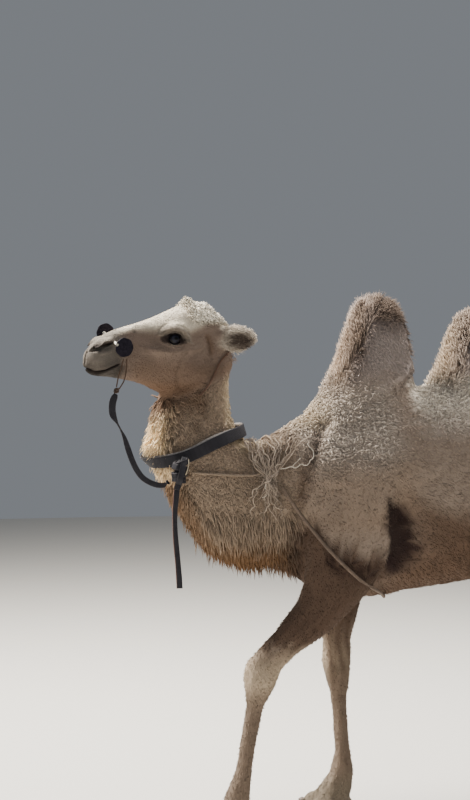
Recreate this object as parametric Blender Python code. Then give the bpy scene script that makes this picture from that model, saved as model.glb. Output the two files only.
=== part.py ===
"""Bactrian camel in its summer coat, walking, life size.

The animal faces -X, its left side is -Y, +Z is up, and its feet stand on the floor at z = 0.
The body is shaped whole from lofted sections, melted into one surface, and then parted with
thin cuts into the pieces that a person would name. What it wears is made round the body.
Places are measured from a point on the floor under the front hump. The last step moves
everything so that the origin is on the floor under the middle of the animal.
"""

import math

import bmesh
import bpy
from mathutils import Matrix, Vector
from mathutils.bvhtree import BVHTree

# ---------------------------------------------------------------- driving sizes, metres
CUT = 0.0006  # width of a cut between two parts
SEAT_GAP = 0.0004  # space round a piece that sits in another
RING_SIDES = 28  # points round a lofted section
LOFT_STEPS = 3  # sections added between two stated ones
VOXEL = 0.009  # grid that melts the lofts into one surface
SMOOTHING = {"": 6, "soft": 24}  # rounds everywhere, and more away from head and feet
FEET_TOP = 0.12
HEAD_REAR_X = -0.60
HEAD_LOW_Z = 1.66
TRIANGLES = {"head": 1300, "feet": 420, "rest": 1700}  # of the body, before it is parted

HEAD_PIVOT = Vector((-0.66, 0.0, 1.88))  # where the skull turns on the neck
HEAD_TURN = math.radians(14)  # nose towards the left side
HEAD_ROLL = math.radians(7)  # right side of the face lifted

EYE_RADIUS = 0.0225
COLLAR_WIDTH = 0.050
COLLAR_THICK = 0.006
COLLAR_SIDES = 28
COLLAR_GAP = 0.006
COLLAR_SLACK = 0.012  # how far the loose collar stands off the throat
COLLAR_SAG = 0.030  # how far its knot pulls it down
STRAP_RADIUS = 0.006
TWINE_RADIUS = 0.005
GIRTH_RADIUS = 0.007
THROAT_CORD_RADIUS = 0.003
NOSE_CORD_RADIUS = 0.0025
PEG_RADIUS = 0.006
DISC_THICK = 0.005
DISC_RADIUS = 0.038
DISC_CORNER = 0.009
CORD_GAP = 0.002  # between a cord and the coat that it lies on

# A section is (top x, top z, bottom x, bottom z, y, half width, widest place, fullness).
# widest place runs from 0 at the bottom to 1 at the top; fullness 2 is an ellipse.
TRUNK = [
    (-0.40, 1.50, -0.41, 1.07, 0, 0.13, 0.55, 2.0),
    (-0.35, 1.58, -0.35, 0.97, 0, 0.18, 0.55, 2.0),
    (-0.25, 1.64, -0.25, 0.915, 0, 0.225, 0.52, 2.1),
    (-0.10, 1.69, -0.10, 0.895, 0, 0.250, 0.50, 2.2),
    (0.05, 1.715, 0.05, 0.905, 0, 0.275, 0.48, 2.3),
    (0.20, 1.730, 0.20, 0.915, 0, 0.300, 0.46, 2.3),
    (0.35, 1.730, 0.35, 0.935, 0, 0.318, 0.46, 2.3),
    (0.50, 1.725, 0.50, 0.960, 0, 0.320, 0.47, 2.3),
    (0.65, 1.700, 0.65, 0.995, 0, 0.302, 0.50, 2.2),
    (0.80, 1.655, 0.80, 1.040, 0, 0.270, 0.55, 2.2),
    (0.93, 1.600, 0.93, 1.080, 0, 0.240, 0.60, 2.2),
    (1.05, 1.520, 1.05, 1.100, 0, 0.205, 0.60, 2.2),
    (1.14, 1.425, 1.14, 1.140, 0, 0.150, 0.60, 2.1),
    (1.185, 1.350, 1.185, 1.200, 0, 0.080, 0.60, 2.0),
]
# The humps are lofted upwards, so "top" is their front edge and "bottom" their rear one.
HUMP_FRONT = [
    (-0.385, 1.50, 0.22, 1.54, 0, 0.190, 0.50, 2.1),
    (-0.308, 1.615, 0.190, 1.66, 0, 0.180, 0.48, 2.1),
    (-0.250, 1.690, 0.160, 1.71, 0, 0.164, 0.47, 2.1),
    (-0.212, 1.762, 0.145, 1.762, 0, 0.145, 0.47, 2.2),
    (-0.176, 1.845, 0.141, 1.845, 0, 0.125, 0.48, 2.3),
    (-0.150, 1.925, 0.130, 1.915, 0, 0.112, 0.48, 2.3),
    (-0.128, 1.995, 0.116, 1.985, 0, 0.098, 0.48, 2.2),
    (-0.108, 2.050, 0.100, 2.040, 0, 0.078, 0.50, 2.1),
    (-0.066, 2.088, 0.066, 2.083, 0, 0.048, 0.50, 2.0),
    (-0.018, 2.102, 0.020, 2.102, 0, 0.018, 0.50, 2.0),
]
HUMP_REAR = [
    (0.12, 1.52, 0.90, 1.50, 0, 0.240, 0.52, 2.1),
    (0.175, 1.640, 0.83, 1.60, 0, 0.215, 0.54, 2.1),
    (0.205, 1.715, 0.76, 1.67, 0, 0.180, 0.55, 2.1),
    (0.238, 1.775, 0.680, 1.745, 0, 0.150, 0.56, 2.2),
    (0.266, 1.845, 0.632, 1.825, 0, 0.128, 0.54, 2.3),
    (0.294, 1.925, 0.598, 1.905, 0, 0.112, 0.52, 2.3),
    (0.320, 1.985, 0.574, 1.970, 0, 0.096, 0.50, 2.2),
    (0.350, 2.026, 0.546, 2.018, 0, 0.074, 0.50, 2.1),
    (0.398, 2.052, 0.500, 2.048, 0, 0.046, 0.50, 2.0),
    (0.434, 2.060, 0.466, 2.060, 0, 0.018, 0.50, 2.0),
]
NECK = [
    (-0.66, 1.930, -0.84, 1.760, 0, 0.080, 0.50, 2.1),
    (-0.605, 1.850, -0.895, 1.690, 0, 0.092, 0.52, 2.1),
    (-0.607, 1.750, -0.925, 1.625, 0, 0.102, 0.56, 2.1),
    (-0.603, 1.665, -0.940, 1.550, 0, 0.110, 0.58, 2.1),
    (-0.592, 1.595, -0.935, 1.460, 0, 0.118, 0.58, 2.1),
    (-0.562, 1.542, -0.888, 1.335, 0, 0.128, 0.58, 2.1),
    (-0.520, 1.518, -0.836, 1.215, 0, 0.138, 0.58, 2.0),
    (-0.470, 1.520, -0.745, 1.080, 0, 0.150, 0.60, 2.0),
    (-0.420, 1.548, -0.600, 0.998, 0, 0.165, 0.62, 2.0),
    (-0.370, 1.585, -0.455, 0.998, 0, 0.180, 0.62, 2.0),
    (-0.300, 1.620, -0.330, 0.990, 0, 0.200, 0.60, 2.0),
]
# Head sections are in the head's own straight frame: x is the distance from the pivot.
HEAD = [
    (0.557, 1.828, 0.557, 1.792, 0, 0.014, 0.50, 2.0),
    (0.550, 1.854, 0.550, 1.778, 0, 0.031, 0.48, 2.1),
    (0.531, 1.878, 0.532, 1.764, 0, 0.046, 0.46, 2.2),
    (0.502, 1.904, 0.502, 1.757, 0, 0.052, 0.48, 2.3),
    (0.464, 1.926, 0.464, 1.755, 0, 0.054, 0.50, 2.3),
    (0.420, 1.941, 0.420, 1.749, 0, 0.054, 0.50, 2.3),
    (0.360, 1.959, 0.360, 1.739, 0, 0.056, 0.52, 2.3),
    (0.310, 1.975, 0.310, 1.724, 0, 0.067, 0.60, 2.2),
    (0.260, 1.994, 0.262, 1.702, 0, 0.083, 0.66, 2.1),
    (0.210, 2.016, 0.215, 1.690, 0, 0.094, 0.68, 2.1),
    (0.160, 2.038, 0.165, 1.690, 0, 0.098, 0.66, 2.1),
    (0.110, 2.046, 0.115, 1.705, 0, 0.096, 0.62, 2.1),
    (0.060, 2.032, 0.060, 1.735, 0, 0.090, 0.60, 2.1),
    (0.010, 2.002, 0.010, 1.780, 0, 0.082, 0.58, 2.1),
    (-0.030, 1.960, -0.030, 1.830, 0, 0.060, 0.55, 2.0),
]
# Swellings on the skull: (forward, sideways, z, half length, half width, half height).
# All but those with 0 sideways stand on both sides of the face.
HEAD_SWELLINGS = {
    "brow": (0.222, 0.083, 1.946, 0.052, 0.024, 0.026),
    "cheekbone": (0.250, 0.062, 1.868, 0.075, 0.026, 0.030),
    "jaw muscle": (0.115, 0.062, 1.795, 0.085, 0.034, 0.075),
    "nostril wing": (0.496, 0.036, 1.888, 0.042, 0.018, 0.022),
    "upper lip": (0.510, 0.026, 1.816, 0.040, 0.030, 0.036),
    "lower lip": (0.497, 0.0, 1.776, 0.046, 0.036, 0.020),
    "forelock": (0.148, 0.0, 2.036, 0.024, 0.032, 0.032),
    "crown": (0.086, 0.0, 2.018, 0.046, 0.050, 0.032),
    "ear root": (0.030, 0.078, 1.924, 0.034, 0.026, 0.034),
}
EYE_PLACE = (0.233, 0.076, 1.911)  # forward, sideways, z
EAR = [  # in the head's frame, root to tip, on the right side
    (0.050, 1.938, 0.050, 1.892, 0.078, 0.015, 0.5, 2.0),
    (0.022, 1.957, 0.022, 1.878, 0.088, 0.022, 0.5, 2.0),
    (-0.010, 1.965, -0.010, 1.869, 0.097, 0.026, 0.5, 2.0),
    (-0.045, 1.962, -0.045, 1.875, 0.106, 0.024, 0.5, 2.0),
    (-0.076, 1.949, -0.076, 1.893, 0.112, 0.018, 0.5, 2.0),
    (-0.095, 1.930, -0.095, 1.912, 0.115, 0.008, 0.5, 2.0),
]
EAR_HOLLOW = ((-0.026, 0.132, 1.919), (0.050, 0.028, 0.031))  # centre, half sizes
PEG_ENDS = ((0.466, -0.092, 1.880), (0.446, 0.096, 1.917))
DISCS = {  # centre in the head's frame, and how far the plate is turned on the peg
    "nose_disc_left": ((0.437, -0.080, 1.874), math.radians(12)),
    "nose_disc_right": ((0.441, 0.084, 1.915), math.radians(-8)),
}

FORELEG_LEFT = [  # swung forward, knee a little bent
    (-0.24, 1.42, 0.07, 1.44, -0.165, 0.085, 0.5, 2.1),
    (-0.33, 1.22, 0.04, 1.20, -0.175, 0.095, 0.5, 2.1),
    (-0.368, 1.06, -0.05, 1.02, -0.180, 0.098, 0.5, 2.1),
    (-0.382, 0.940, -0.112, 0.925, -0.178, 0.088, 0.5, 2.1),
    (-0.470, 0.820, -0.250, 0.792, -0.172, 0.072, 0.5, 2.1),
    (-0.548, 0.732, -0.388, 0.706, -0.168, 0.060, 0.5, 2.1),
    (-0.596, 0.680, -0.452, 0.655, -0.166, 0.062, 0.5, 2.3),
    (-0.606, 0.628, -0.470, 0.612, -0.166, 0.066, 0.5, 2.3),
    (-0.602, 0.565, -0.500, 0.555, -0.166, 0.050, 0.5, 2.2),
    (-0.600, 0.510, -0.524, 0.502, -0.166, 0.038, 0.5, 2.2),
    (-0.618, 0.390, -0.552, 0.380, -0.166, 0.036, 0.5, 2.2),
    (-0.642, 0.270, -0.572, 0.252, -0.166, 0.040, 0.5, 2.2),
    (-0.668, 0.205, -0.578, 0.175, -0.167, 0.049, 0.5, 2.2),
    (-0.702, 0.140, -0.592, 0.105, -0.168, 0.054, 0.5, 2.2),
    (-0.742, 0.085, -0.612, 0.050, -0.168, 0.064, 0.5, 2.2),
]
FORELEG_RIGHT = [  # carries the weight, upright
    (-0.18, 1.42, 0.12, 1.44, 0.165, 0.085, 0.5, 2.1),
    (-0.26, 1.22, 0.10, 1.20, 0.172, 0.095, 0.5, 2.1),
    (-0.265, 1.06, 0.06, 1.06, 0.172, 0.096, 0.5, 2.1),
    (-0.225, 0.940, 0.025, 0.940, 0.168, 0.084, 0.5, 2.1),
    (-0.195, 0.800, -0.020, 0.800, 0.162, 0.068, 0.5, 2.1),
    (-0.178, 0.690, -0.050, 0.690, 0.158, 0.058, 0.5, 2.1),
    (-0.176, 0.620, -0.054, 0.620, 0.156, 0.062, 0.5, 2.3),
    (-0.172, 0.570, -0.056, 0.560, 0.156, 0.064, 0.5, 2.3),
    (-0.150, 0.500, -0.066, 0.495, 0.156, 0.046, 0.5, 2.2),
    (-0.140, 0.440, -0.070, 0.436, 0.156, 0.037, 0.5, 2.2),
    (-0.128, 0.320, -0.062, 0.316, 0.156, 0.036, 0.5, 2.2),
    (-0.124, 0.235, -0.052, 0.225, 0.156, 0.041, 0.5, 2.2),
    (-0.136, 0.175, -0.042, 0.150, 0.157, 0.050, 0.5, 2.2),
    (-0.160, 0.125, -0.050, 0.095, 0.158, 0.055, 0.5, 2.2),
    (-0.196, 0.080, -0.064, 0.050, 0.158, 0.064, 0.5, 2.2),
]
HINDLEG = [  # in its standing place; each hind leg is this one, swung at the hip
    (0.84, 1.42, 1.07, 1.40, 0.130, 0.070, 0.5, 2.1),
    (0.740, 1.27, 1.170, 1.26, 0.166, 0.098, 0.5, 2.2),
    (0.735, 1.12, 1.165, 1.10, 0.180, 0.100, 0.5, 2.2),
    (0.775, 0.985, 1.120, 1.000, 0.178, 0.088, 0.5, 2.2),
    (0.850, 0.870, 1.090, 0.900, 0.172, 0.070, 0.5, 2.1),
    (0.930, 0.765, 1.085, 0.800, 0.166, 0.054, 0.5, 2.1),
    (0.990, 0.675, 1.115, 0.715, 0.164, 0.046, 0.5, 2.1),
    (1.015, 0.610, 1.135, 0.650, 0.164, 0.050, 0.5, 2.3),
    (1.022, 0.560, 1.124, 0.570, 0.164, 0.046, 0.5, 2.2),
    (1.024, 0.490, 1.098, 0.490, 0.164, 0.037, 0.5, 2.2),
    (1.016, 0.350, 1.082, 0.352, 0.164, 0.033, 0.5, 2.2),
    (1.006, 0.245, 1.076, 0.240, 0.164, 0.038, 0.5, 2.2),
    (0.988, 0.180, 1.080, 0.158, 0.165, 0.047, 0.5, 2.2),
    (0.960, 0.130, 1.068, 0.098, 0.166, 0.051, 0.5, 2.2),
    (0.926, 0.082, 1.050, 0.050, 0.166, 0.060, 0.5, 2.2),
]
HIP = Vector((0.97, 0.0, 1.30))
HIND_SWING = {"left": math.radians(7.5), "right": math.radians(-7.0)}

BODY_SWELLINGS = {  # on both sides of the body: place, half sizes
    "shoulder blade": ((0.000, 0.182, 1.310), (0.160, 0.058, 0.210)),
    "hip bone": ((0.780, 0.172, 1.470), (0.090, 0.050, 0.060)),
    "buttock": ((1.050, 0.115, 1.290), (0.100, 0.075, 0.120)),
}
CHEST_PAD = ((-0.040, 0, 0.915), (0.140, 0.090, 0.030))

# Feet: centre x, y, half length, half width.
FEET = {
    "foreleg_left": (-0.690, -0.168, 0.102, 0.092),
    "foreleg_right": (-0.140, 0.158, 0.102, 0.092),
    "hindleg_left": (0.842, -0.165, 0.094, 0.083),
    "hindleg_right": (1.142, 0.165, 0.094, 0.083),
}
TOE_SPREAD = 0.044  # each toe's centre from the middle line of the foot
NAIL_HALF_SIZES = (0.021, 0.019, 0.019)
NAIL_HEIGHT = 0.030

TAIL = [
    (1.14, 1.425, 1.13, 1.345, 0.000, 0.045, 0.5, 2.0),
    (1.21, 1.400, 1.18, 1.330, 0.002, 0.034, 0.5, 2.0),
    (1.258, 1.320, 1.214, 1.290, 0.004, 0.025, 0.5, 2.0),
    (1.275, 1.200, 1.233, 1.196, 0.006, 0.021, 0.5, 2.0),
    (1.280, 1.080, 1.238, 1.080, 0.008, 0.022, 0.5, 2.0),
    (1.288, 0.990, 1.230, 0.990, 0.009, 0.032, 0.5, 2.0),
    (1.284, 0.900, 1.226, 0.900, 0.010, 0.032, 0.5, 2.0),
    (1.266, 0.830, 1.244, 0.830, 0.010, 0.014, 0.5, 2.0),
]

# ---------------------------------------------------------------- where the body is parted
# Flat cuts: middle of the cut, its normal, its radius.
CUTS = {
    "behind the jaw": ((-0.763, 0, 1.712), (-0.407, 0, 0.913), 0.26),
    "under the collar": ((-0.757, 0, 1.500), (-0.282, 0, 0.959), 0.26),
    "neck base": ((-0.407, 0, 1.280), (0.997, 0, -0.080), 0.345),
    "front hump": ((-0.035, 0, 1.765), (0, 0, 1), 0.215),
    "rear hump": ((0.462, 0, 1.765), (0, 0, 1), 0.270),
    "tail root": ((1.194, 0, 1.352), (1, 0, 0), 0.085),
}
# Domed cuts round the top of each leg, from the rim under the belly to the top.
FORE_DOME = {
    "left": [
        (-0.450, 0.905, -0.020, 0.860, -0.205, 0.170, 0.5, 2.2),
        (-0.415, 1.000, 0.020, 0.970, -0.205, 0.170, 0.5, 2.2),
        (-0.388, 1.120, 0.060, 1.100, -0.205, 0.165, 0.5, 2.1),
        (-0.350, 1.240, 0.075, 1.220, -0.195, 0.150, 0.5, 2.0),
        (-0.290, 1.340, 0.060, 1.340, -0.180, 0.125, 0.5, 2.0),
        (-0.220, 1.420, 0.030, 1.420, -0.160, 0.085, 0.5, 2.0),
        (-0.130, 1.455, -0.050, 1.455, -0.140, 0.030, 0.5, 2.0),
    ],
    "right": [
        (-0.290, 0.860, 0.090, 0.860, 0.205, 0.170, 0.5, 2.2),
        (-0.310, 0.980, 0.120, 0.980, 0.205, 0.170, 0.5, 2.2),
        (-0.330, 1.100, 0.130, 1.100, 0.205, 0.165, 0.5, 2.1),
        (-0.320, 1.220, 0.120, 1.220, 0.195, 0.150, 0.5, 2.0),
        (-0.270, 1.340, 0.090, 1.340, 0.180, 0.125, 0.5, 2.0),
        (-0.210, 1.420, 0.050, 1.420, 0.160, 0.085, 0.5, 2.0),
        (-0.120, 1.455, -0.040, 1.455, 0.140, 0.030, 0.5, 2.0),
    ],
}
HIND_DOME = [
    (0.700, 0.930, 1.150, 0.935, 0.205, 0.170, 0.5, 2.2),
    (0.665, 1.030, 1.210, 1.030, 0.205, 0.170, 0.5, 2.2),
    (0.655, 1.140, 1.240, 1.140, 0.205, 0.165, 0.5, 2.1),
    (0.665, 1.240, 1.240, 1.240, 0.195, 0.150, 0.5, 2.0),
    (0.700, 1.340, 1.190, 1.340, 0.180, 0.125, 0.5, 2.0),
    (0.770, 1.420, 1.120, 1.420, 0.160, 0.085, 0.5, 2.0),
    (0.890, 1.460, 0.980, 1.460, 0.140, 0.030, 0.5, 2.0),
]
# Each part of the body: about where its middle is, and its finish.
BODY_PARTS = {
    "head": ((-0.89, -0.06, 1.87), "pale_coat"),
    "neck_upper": ((-0.76, 0, 1.60), "neck_coat"),
    "neck_lower": ((-0.66, 0, 1.27), "neck_coat"),
    "trunk": ((0.40, 0, 1.32), "body_coat"),
    "hump_front": ((-0.03, 0, 1.93), "crest_coat"),
    "hump_rear": ((0.46, 0, 1.91), "crest_coat"),
    "foreleg_left": ((-0.36, -0.20, 0.72), "body_coat"),
    "foreleg_right": ((-0.10, 0.20, 0.72), "body_coat"),
    "hindleg_left": ((0.92, -0.20, 0.72), "body_coat"),
    "hindleg_right": ((1.00, 0.20, 0.72), "body_coat"),
    "tail": ((1.24, 0.005, 1.11), "body_coat"),
}
CRUMB = 1e-6  # cubic metres; a Boolean may leave smaller bits, which aren't parts

# ---------------------------------------------------------------- what it wears
KNOT_CENTRE = Vector((-0.850, -0.150, 1.392))
KNOT_LUMPS = [  # offset from the middle, half sizes
    ((0, 0, 0), (0.040, 0.026, 0.034)),
    ((0.020, 0.004, 0.022), (0.030, 0.020, 0.024)),
    ((-0.016, 0.002, -0.026), (0.026, 0.020, 0.026)),
]
# Two thin cords run from the left plate to a small knot, and a strap from there to the collar.
LINE_KNOT = ((-1.098, -0.200, 1.706), (0.010, 0.008, 0.012))
NOSE_CORDS = {
    "nose_cord_front": [
        (-1.068, -0.181, 1.821),
        (-1.078, -0.188, 1.790),
        (-1.090, -0.195, 1.755),
        (-1.098, -0.200, 1.7188),
    ],
    "nose_cord_rear": [
        (-1.056, -0.178, 1.822),
        (-1.058, -0.184, 1.785),
        (-1.067, -0.191, 1.745),
        (-1.0875, -0.1985, 1.712),
    ],
}
# The strap from the small knot to the collar's, and the end that hangs from the collar.
NOSE_LINE = [
    (-1.100, -0.200, 1.6935),
    (-1.112, -0.200, 1.662),
    (-1.112, -0.200, 1.622),
    (-1.096, -0.198, 1.590),
    (-1.070, -0.195, 1.540),
    (-1.054, -0.192, 1.495),
    (-1.037, -0.188, 1.450),
    (-1.016, -0.184, 1.410),
    (-0.989, -0.179, 1.380),
    (-0.946, -0.172, 1.359),
    (-0.912, -0.164, 1.356),
    (-0.8935, -0.158, 1.368),
]
STRAP_TAIL = [
    (-0.862, -0.157, 1.336),
    (-0.866, -0.162, 1.300),
    (-0.872, -0.170, 1.250),
    (-0.872, -0.174, 1.190),
    (-0.868, -0.176, 1.130),
    (-0.862, -0.176, 1.070),
    (-0.857, -0.175, 1.010),
    (-0.855, -0.175, 0.972),
]
# Cords that lie on the coat, by places near which they run.
TWINE_SIDE = [
    (-0.800, -0.130, 1.398),
    (-0.730, -0.140, 1.392),
    (-0.660, -0.145, 1.388),
    (-0.590, -0.150, 1.381),
    (-0.534, -0.155, 1.377),
    (-0.490, -0.160, 1.400),
    (-0.470, -0.130, 1.470),
    (-0.462, -0.070, 1.530),
]
TWINE_TOP = [(-0.460, 0.000, 1.545)]
GIRTH_NEAR = [
    (-0.455, -0.160, 1.345),
    (-0.404, -0.210, 1.241),
    (-0.355, -0.235, 1.178),
    (-0.310, -0.250, 1.114),
    (-0.250, -0.260, 1.048),
    (-0.185, -0.260, 0.986),
    (-0.110, -0.230, 0.945),
    (-0.040, -0.160, 0.905),
    (0.010, -0.070, 0.885),
]
GIRTH_FAR = [
    (0.040, 0.040, 0.885),
    (0.075, 0.130, 0.920),
    (0.100, 0.210, 0.990),
    (0.080, 0.260, 1.080),
    (0.000, 0.280, 1.170),
    (-0.120, 0.280, 1.240),
    (-0.240, 0.260, 1.290),
    (-0.350, 0.220, 1.330),
    (-0.440, 0.170, 1.365),
]
THROAT_CORD_SIDE = [  # forward, sideways, z in the head's frame, on the right side
    (0.100, 0.030, 1.680),
    (0.094, 0.062, 1.695),
    (0.080, 0.084, 1.735),
    (0.060, 0.092, 1.775),
    (0.046, 0.094, 1.808),
    (0.034, 0.092, 1.840),
    (0.004, 0.084, 1.848),
    (-0.034, 0.060, 1.880),
    (-0.044, 0.036, 1.928),
]
THROAT_CORD_TOP = [(-0.046, 0.0, 1.950)]

# Finish of each kind of piece: colour, roughness, metallic.
FINISHES = {
    "pale_coat": ((0.60, 0.52, 0.42, 1), 0.95, 0.0),
    "body_coat": ((0.50, 0.41, 0.32, 1), 0.95, 0.0),
    "crest_coat": ((0.25, 0.18, 0.14, 1), 0.95, 0.0),
    "neck_coat": ((0.48, 0.34, 0.22, 1), 0.95, 0.0),
    "eye_dark": ((0.03, 0.02, 0.02, 1), 0.08, 0.0),
    "horn_nail": ((0.20, 0.16, 0.13, 1), 0.55, 0.0),
    "black_webbing": ((0.03, 0.03, 0.04, 1), 0.80, 0.0),
    "dark_leather": ((0.07, 0.06, 0.06, 1), 0.60, 0.0),
    "pale_bone": ((0.80, 0.76, 0.68, 1), 0.50, 0.0),
    "brown_cord": ((0.24, 0.17, 0.12, 1), 0.85, 0.0),
}


def clear_scene():
    for thing in list(bpy.data.objects):
        bpy.data.objects.remove(thing)


def finish(name):
    """The Principled material of that name, made once."""
    found = bpy.data.materials.get(name)
    if found:
        return found
    colour, roughness, metallic = FINISHES[name]
    made = bpy.data.materials.new(name)
    made.use_nodes = True
    shader = made.node_tree.nodes["Principled BSDF"]
    shader.inputs["Base Color"].default_value = colour
    shader.inputs["Roughness"].default_value = roughness
    shader.inputs["Metallic"].default_value = metallic
    return made


def object_from(bm, name):
    """A scene object from a bmesh, its faces turned outwards."""
    bmesh.ops.recalc_face_normals(bm, faces=bm.faces)
    mesh = bpy.data.meshes.new(name)
    bm.to_mesh(mesh)
    bm.free()
    made = bpy.data.objects.new(name, mesh)
    bpy.context.scene.collection.objects.link(made)
    return made


def bake_modifiers(thing):
    """Replaces the object's mesh by the one its modifiers give."""
    graph = bpy.context.evaluated_depsgraph_get()
    mesh = bpy.data.meshes.new_from_object(thing.evaluated_get(graph))
    thing.modifiers.clear()
    thing.data = mesh


def remove(thing):
    bpy.data.objects.remove(thing)


# ---------------------------------------------------------------- lofted sections
def between(a, b, c, d, t):
    """Catmull-Rom value a share t of the way from b to c."""
    return 0.5 * (
        2 * b + (c - a) * t + (2 * a - 5 * b + 4 * c - d) * t * t + (3 * b - a - 3 * c + d) * t**3
    )


def smooth_sections(sections, steps):
    """The stated sections with rounded ones between them."""
    padded = [sections[0], *sections, sections[-1]]
    result = []
    for i in range(len(sections) - 1):
        around = padded[i : i + 4]
        for k in range(steps + 1):
            t = k / (steps + 1)
            result.append(tuple(between(*(s[n] for s in around), t) for n in range(8)))
    result.append(sections[-1])
    return result


def section_points(section, sides):
    """The points round one section, as an egg with its own widest place."""
    top_x, top_z, bottom_x, bottom_z, y, width, widest, fullness = section
    top, bottom = Vector((top_x, y, top_z)), Vector((bottom_x, y, bottom_z))
    centre = bottom.lerp(top, widest)
    points = []
    for k in range(sides):
        angle = 2 * math.pi * k / sides
        c, s = math.cos(angle), math.sin(angle)
        across = math.copysign(abs(c) ** (2 / fullness), c) * width
        along = abs(s) ** (2 / fullness)
        end = top if s >= 0 else bottom
        points.append(centre.lerp(end, along) + Vector((0, across, 0)))
    return points


def add_loop(bm, points):
    """A closed loop of edges through the points."""
    corners = [bm.verts.new(p) for p in points]
    return [bm.edges.new((corners[i - 1], corners[i])) for i in range(len(corners))]


def loft(name, sections, sides=RING_SIDES, steps=LOFT_STEPS, open_start=False):
    """A closed solid through the sections; open_start leaves the first end open."""
    bm = bmesh.new()
    loops = [add_loop(bm, section_points(s, sides)) for s in smooth_sections(sections, steps)]
    for first, second in zip(loops, loops[1:]):
        bmesh.ops.bridge_loops(bm, edges=first + second)
    for end in loops[-1:] if open_start else (loops[0], loops[-1]):
        bmesh.ops.contextual_create(bm, geom=end)
    return object_from(bm, name)


def ellipsoid(name, place, half_sizes, segments=20):
    bm = bmesh.new()
    bmesh.ops.create_uvsphere(bm, u_segments=segments, v_segments=segments // 2, radius=1)
    bmesh.ops.scale(bm, vec=half_sizes, verts=bm.verts)
    bmesh.ops.translate(bm, vec=place, verts=bm.verts)
    return object_from(bm, name)


# ---------------------------------------------------------------- head frame
def head_matrix():
    """From the head's straight frame (forward, sideways, z) to its place on the neck."""
    flip = Matrix.Scale(-1, 4, (1, 0, 0))
    lift = Matrix.Translation((0, 0, -HEAD_PIVOT.z))
    roll = Matrix.Rotation(HEAD_ROLL, 4, "X")
    turn = Matrix.Rotation(HEAD_TURN, 4, "Z")
    return Matrix.Translation(HEAD_PIVOT) @ turn @ roll @ lift @ flip


def place_on_head(thing):
    """Moves an object made in the head's frame; the flip is undone by turning its faces."""
    thing.data.transform(head_matrix())
    thing.data.flip_normals()
    return thing


def head_point(forward, sideways, z):
    return head_matrix() @ Vector((forward, sideways, z))


# ---------------------------------------------------------------- the body, whole
def swung(sections, side):
    """Hind leg sections on one side, swung at the hip; the foot end keeps its level."""
    sign = -1 if side == "left" else 1
    turn = Matrix.Rotation(HIND_SWING[side], 3, "Y")
    top_level = sections[0][1]
    result = []
    for top_x, top_z, bottom_x, bottom_z, y, *shape in sections:
        row = []
        for x, z in ((top_x, top_z), (bottom_x, bottom_z)):
            moved = HIP + turn @ (Vector((x, 0, z)) - HIP)
            lift = moved.z - z if z < HIP.z else 0
            row += [moved.x, moved.z - lift]
        result.append((*row, y * sign, *shape))
    return result


def foot_blobs(name):
    """A broad pad with two toes in front, and the swelling that joins it to the leg."""
    x, y, half_length, half_width = FEET[name]
    blobs = [
        ellipsoid(name + " pad", (x + 0.012, y, 0.012), (half_length * 0.92, half_width, 0.046)),
        ellipsoid(name + " heel", (x + half_length * 0.36, y, 0.050), (0.048, 0.052, 0.056)),
    ]
    for side in (-1, 1):
        toe = (x - half_length * 0.45, y + side * TOE_SPREAD, 0.020)
        blobs.append(ellipsoid(name + " toe", toe, (half_length * 0.66, 0.045, 0.050)))
        instep = (x + 0.004, y + side * 0.020, 0.070)
        blobs.append(ellipsoid(name + " instep", instep, (0.062, 0.038, 0.042)))
    return blobs


def head_lumps():
    lumps = [loft("skull", HEAD)]
    for name, (forward, sideways, z, *half) in HEAD_SWELLINGS.items():
        for side in (-1, 1) if sideways else (1,):
            lumps.append(ellipsoid(name, (forward, sideways * side, z), half))
    return [place_on_head(lump) for lump in lumps]


def body_lumps():
    lumps = [
        loft("trunk", TRUNK),
        loft("hump front", HUMP_FRONT),
        loft("hump rear", HUMP_REAR),
        loft("neck", NECK),
        loft("foreleg left", FORELEG_LEFT),
        loft("foreleg right", FORELEG_RIGHT),
        loft("tail", TAIL),
        ellipsoid("chest pad", *CHEST_PAD),
    ]
    for side, sign in (("left", -1), ("right", 1)):
        lumps.append(loft("hindleg " + side, swung(HINDLEG, side)))
        for name, (place, half) in BODY_SWELLINGS.items():
            lumps.append(ellipsoid(name, (place[0], place[1] * sign, place[2]), half))
    for name in FEET:
        lumps += foot_blobs(name)
    return lumps + head_lumps()


def joined(name, things):
    """One object holding the meshes of several."""
    bm = bmesh.new()
    for thing in things:
        bm.from_mesh(thing.data)
        remove(thing)
    mesh = bpy.data.meshes.new(name)
    bm.to_mesh(mesh)
    bm.free()
    made = bpy.data.objects.new(name, mesh)
    bpy.context.scene.collection.objects.link(made)
    return made


def melt(thing):
    """One surface round all of the object's closed shells, with soft joins."""
    remesh = thing.modifiers.new("melt", "REMESH")
    remesh.mode = "VOXEL"
    remesh.voxel_size = VOXEL
    bake_modifiers(thing)
    soft_places = [v.index for v in thing.data.vertices if place_of(v.co) == "rest"]
    thing.vertex_groups.new(name="soft").add(soft_places, 1.0, "REPLACE")
    for group, rounds in SMOOTHING.items():
        smooth = thing.modifiers.new("soften", "SMOOTH")
        smooth.factor = 0.5
        smooth.iterations = rounds
        smooth.vertex_group = group
    bake_modifiers(thing)
    thing.vertex_groups.clear()


def place_of(point):
    if point.z < FEET_TOP:
        return "feet"
    return "head" if point.x < HEAD_REAR_X and point.z > HEAD_LOW_Z else "rest"


def faces_in(thing, place):
    """How many triangles the object has in that place."""
    corners = thing.data.vertices
    faces = thing.data.polygons
    return sum(len(f.vertices) - 2 for f in faces if place_of(corners[f.vertices[0]].co) == place)


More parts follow.
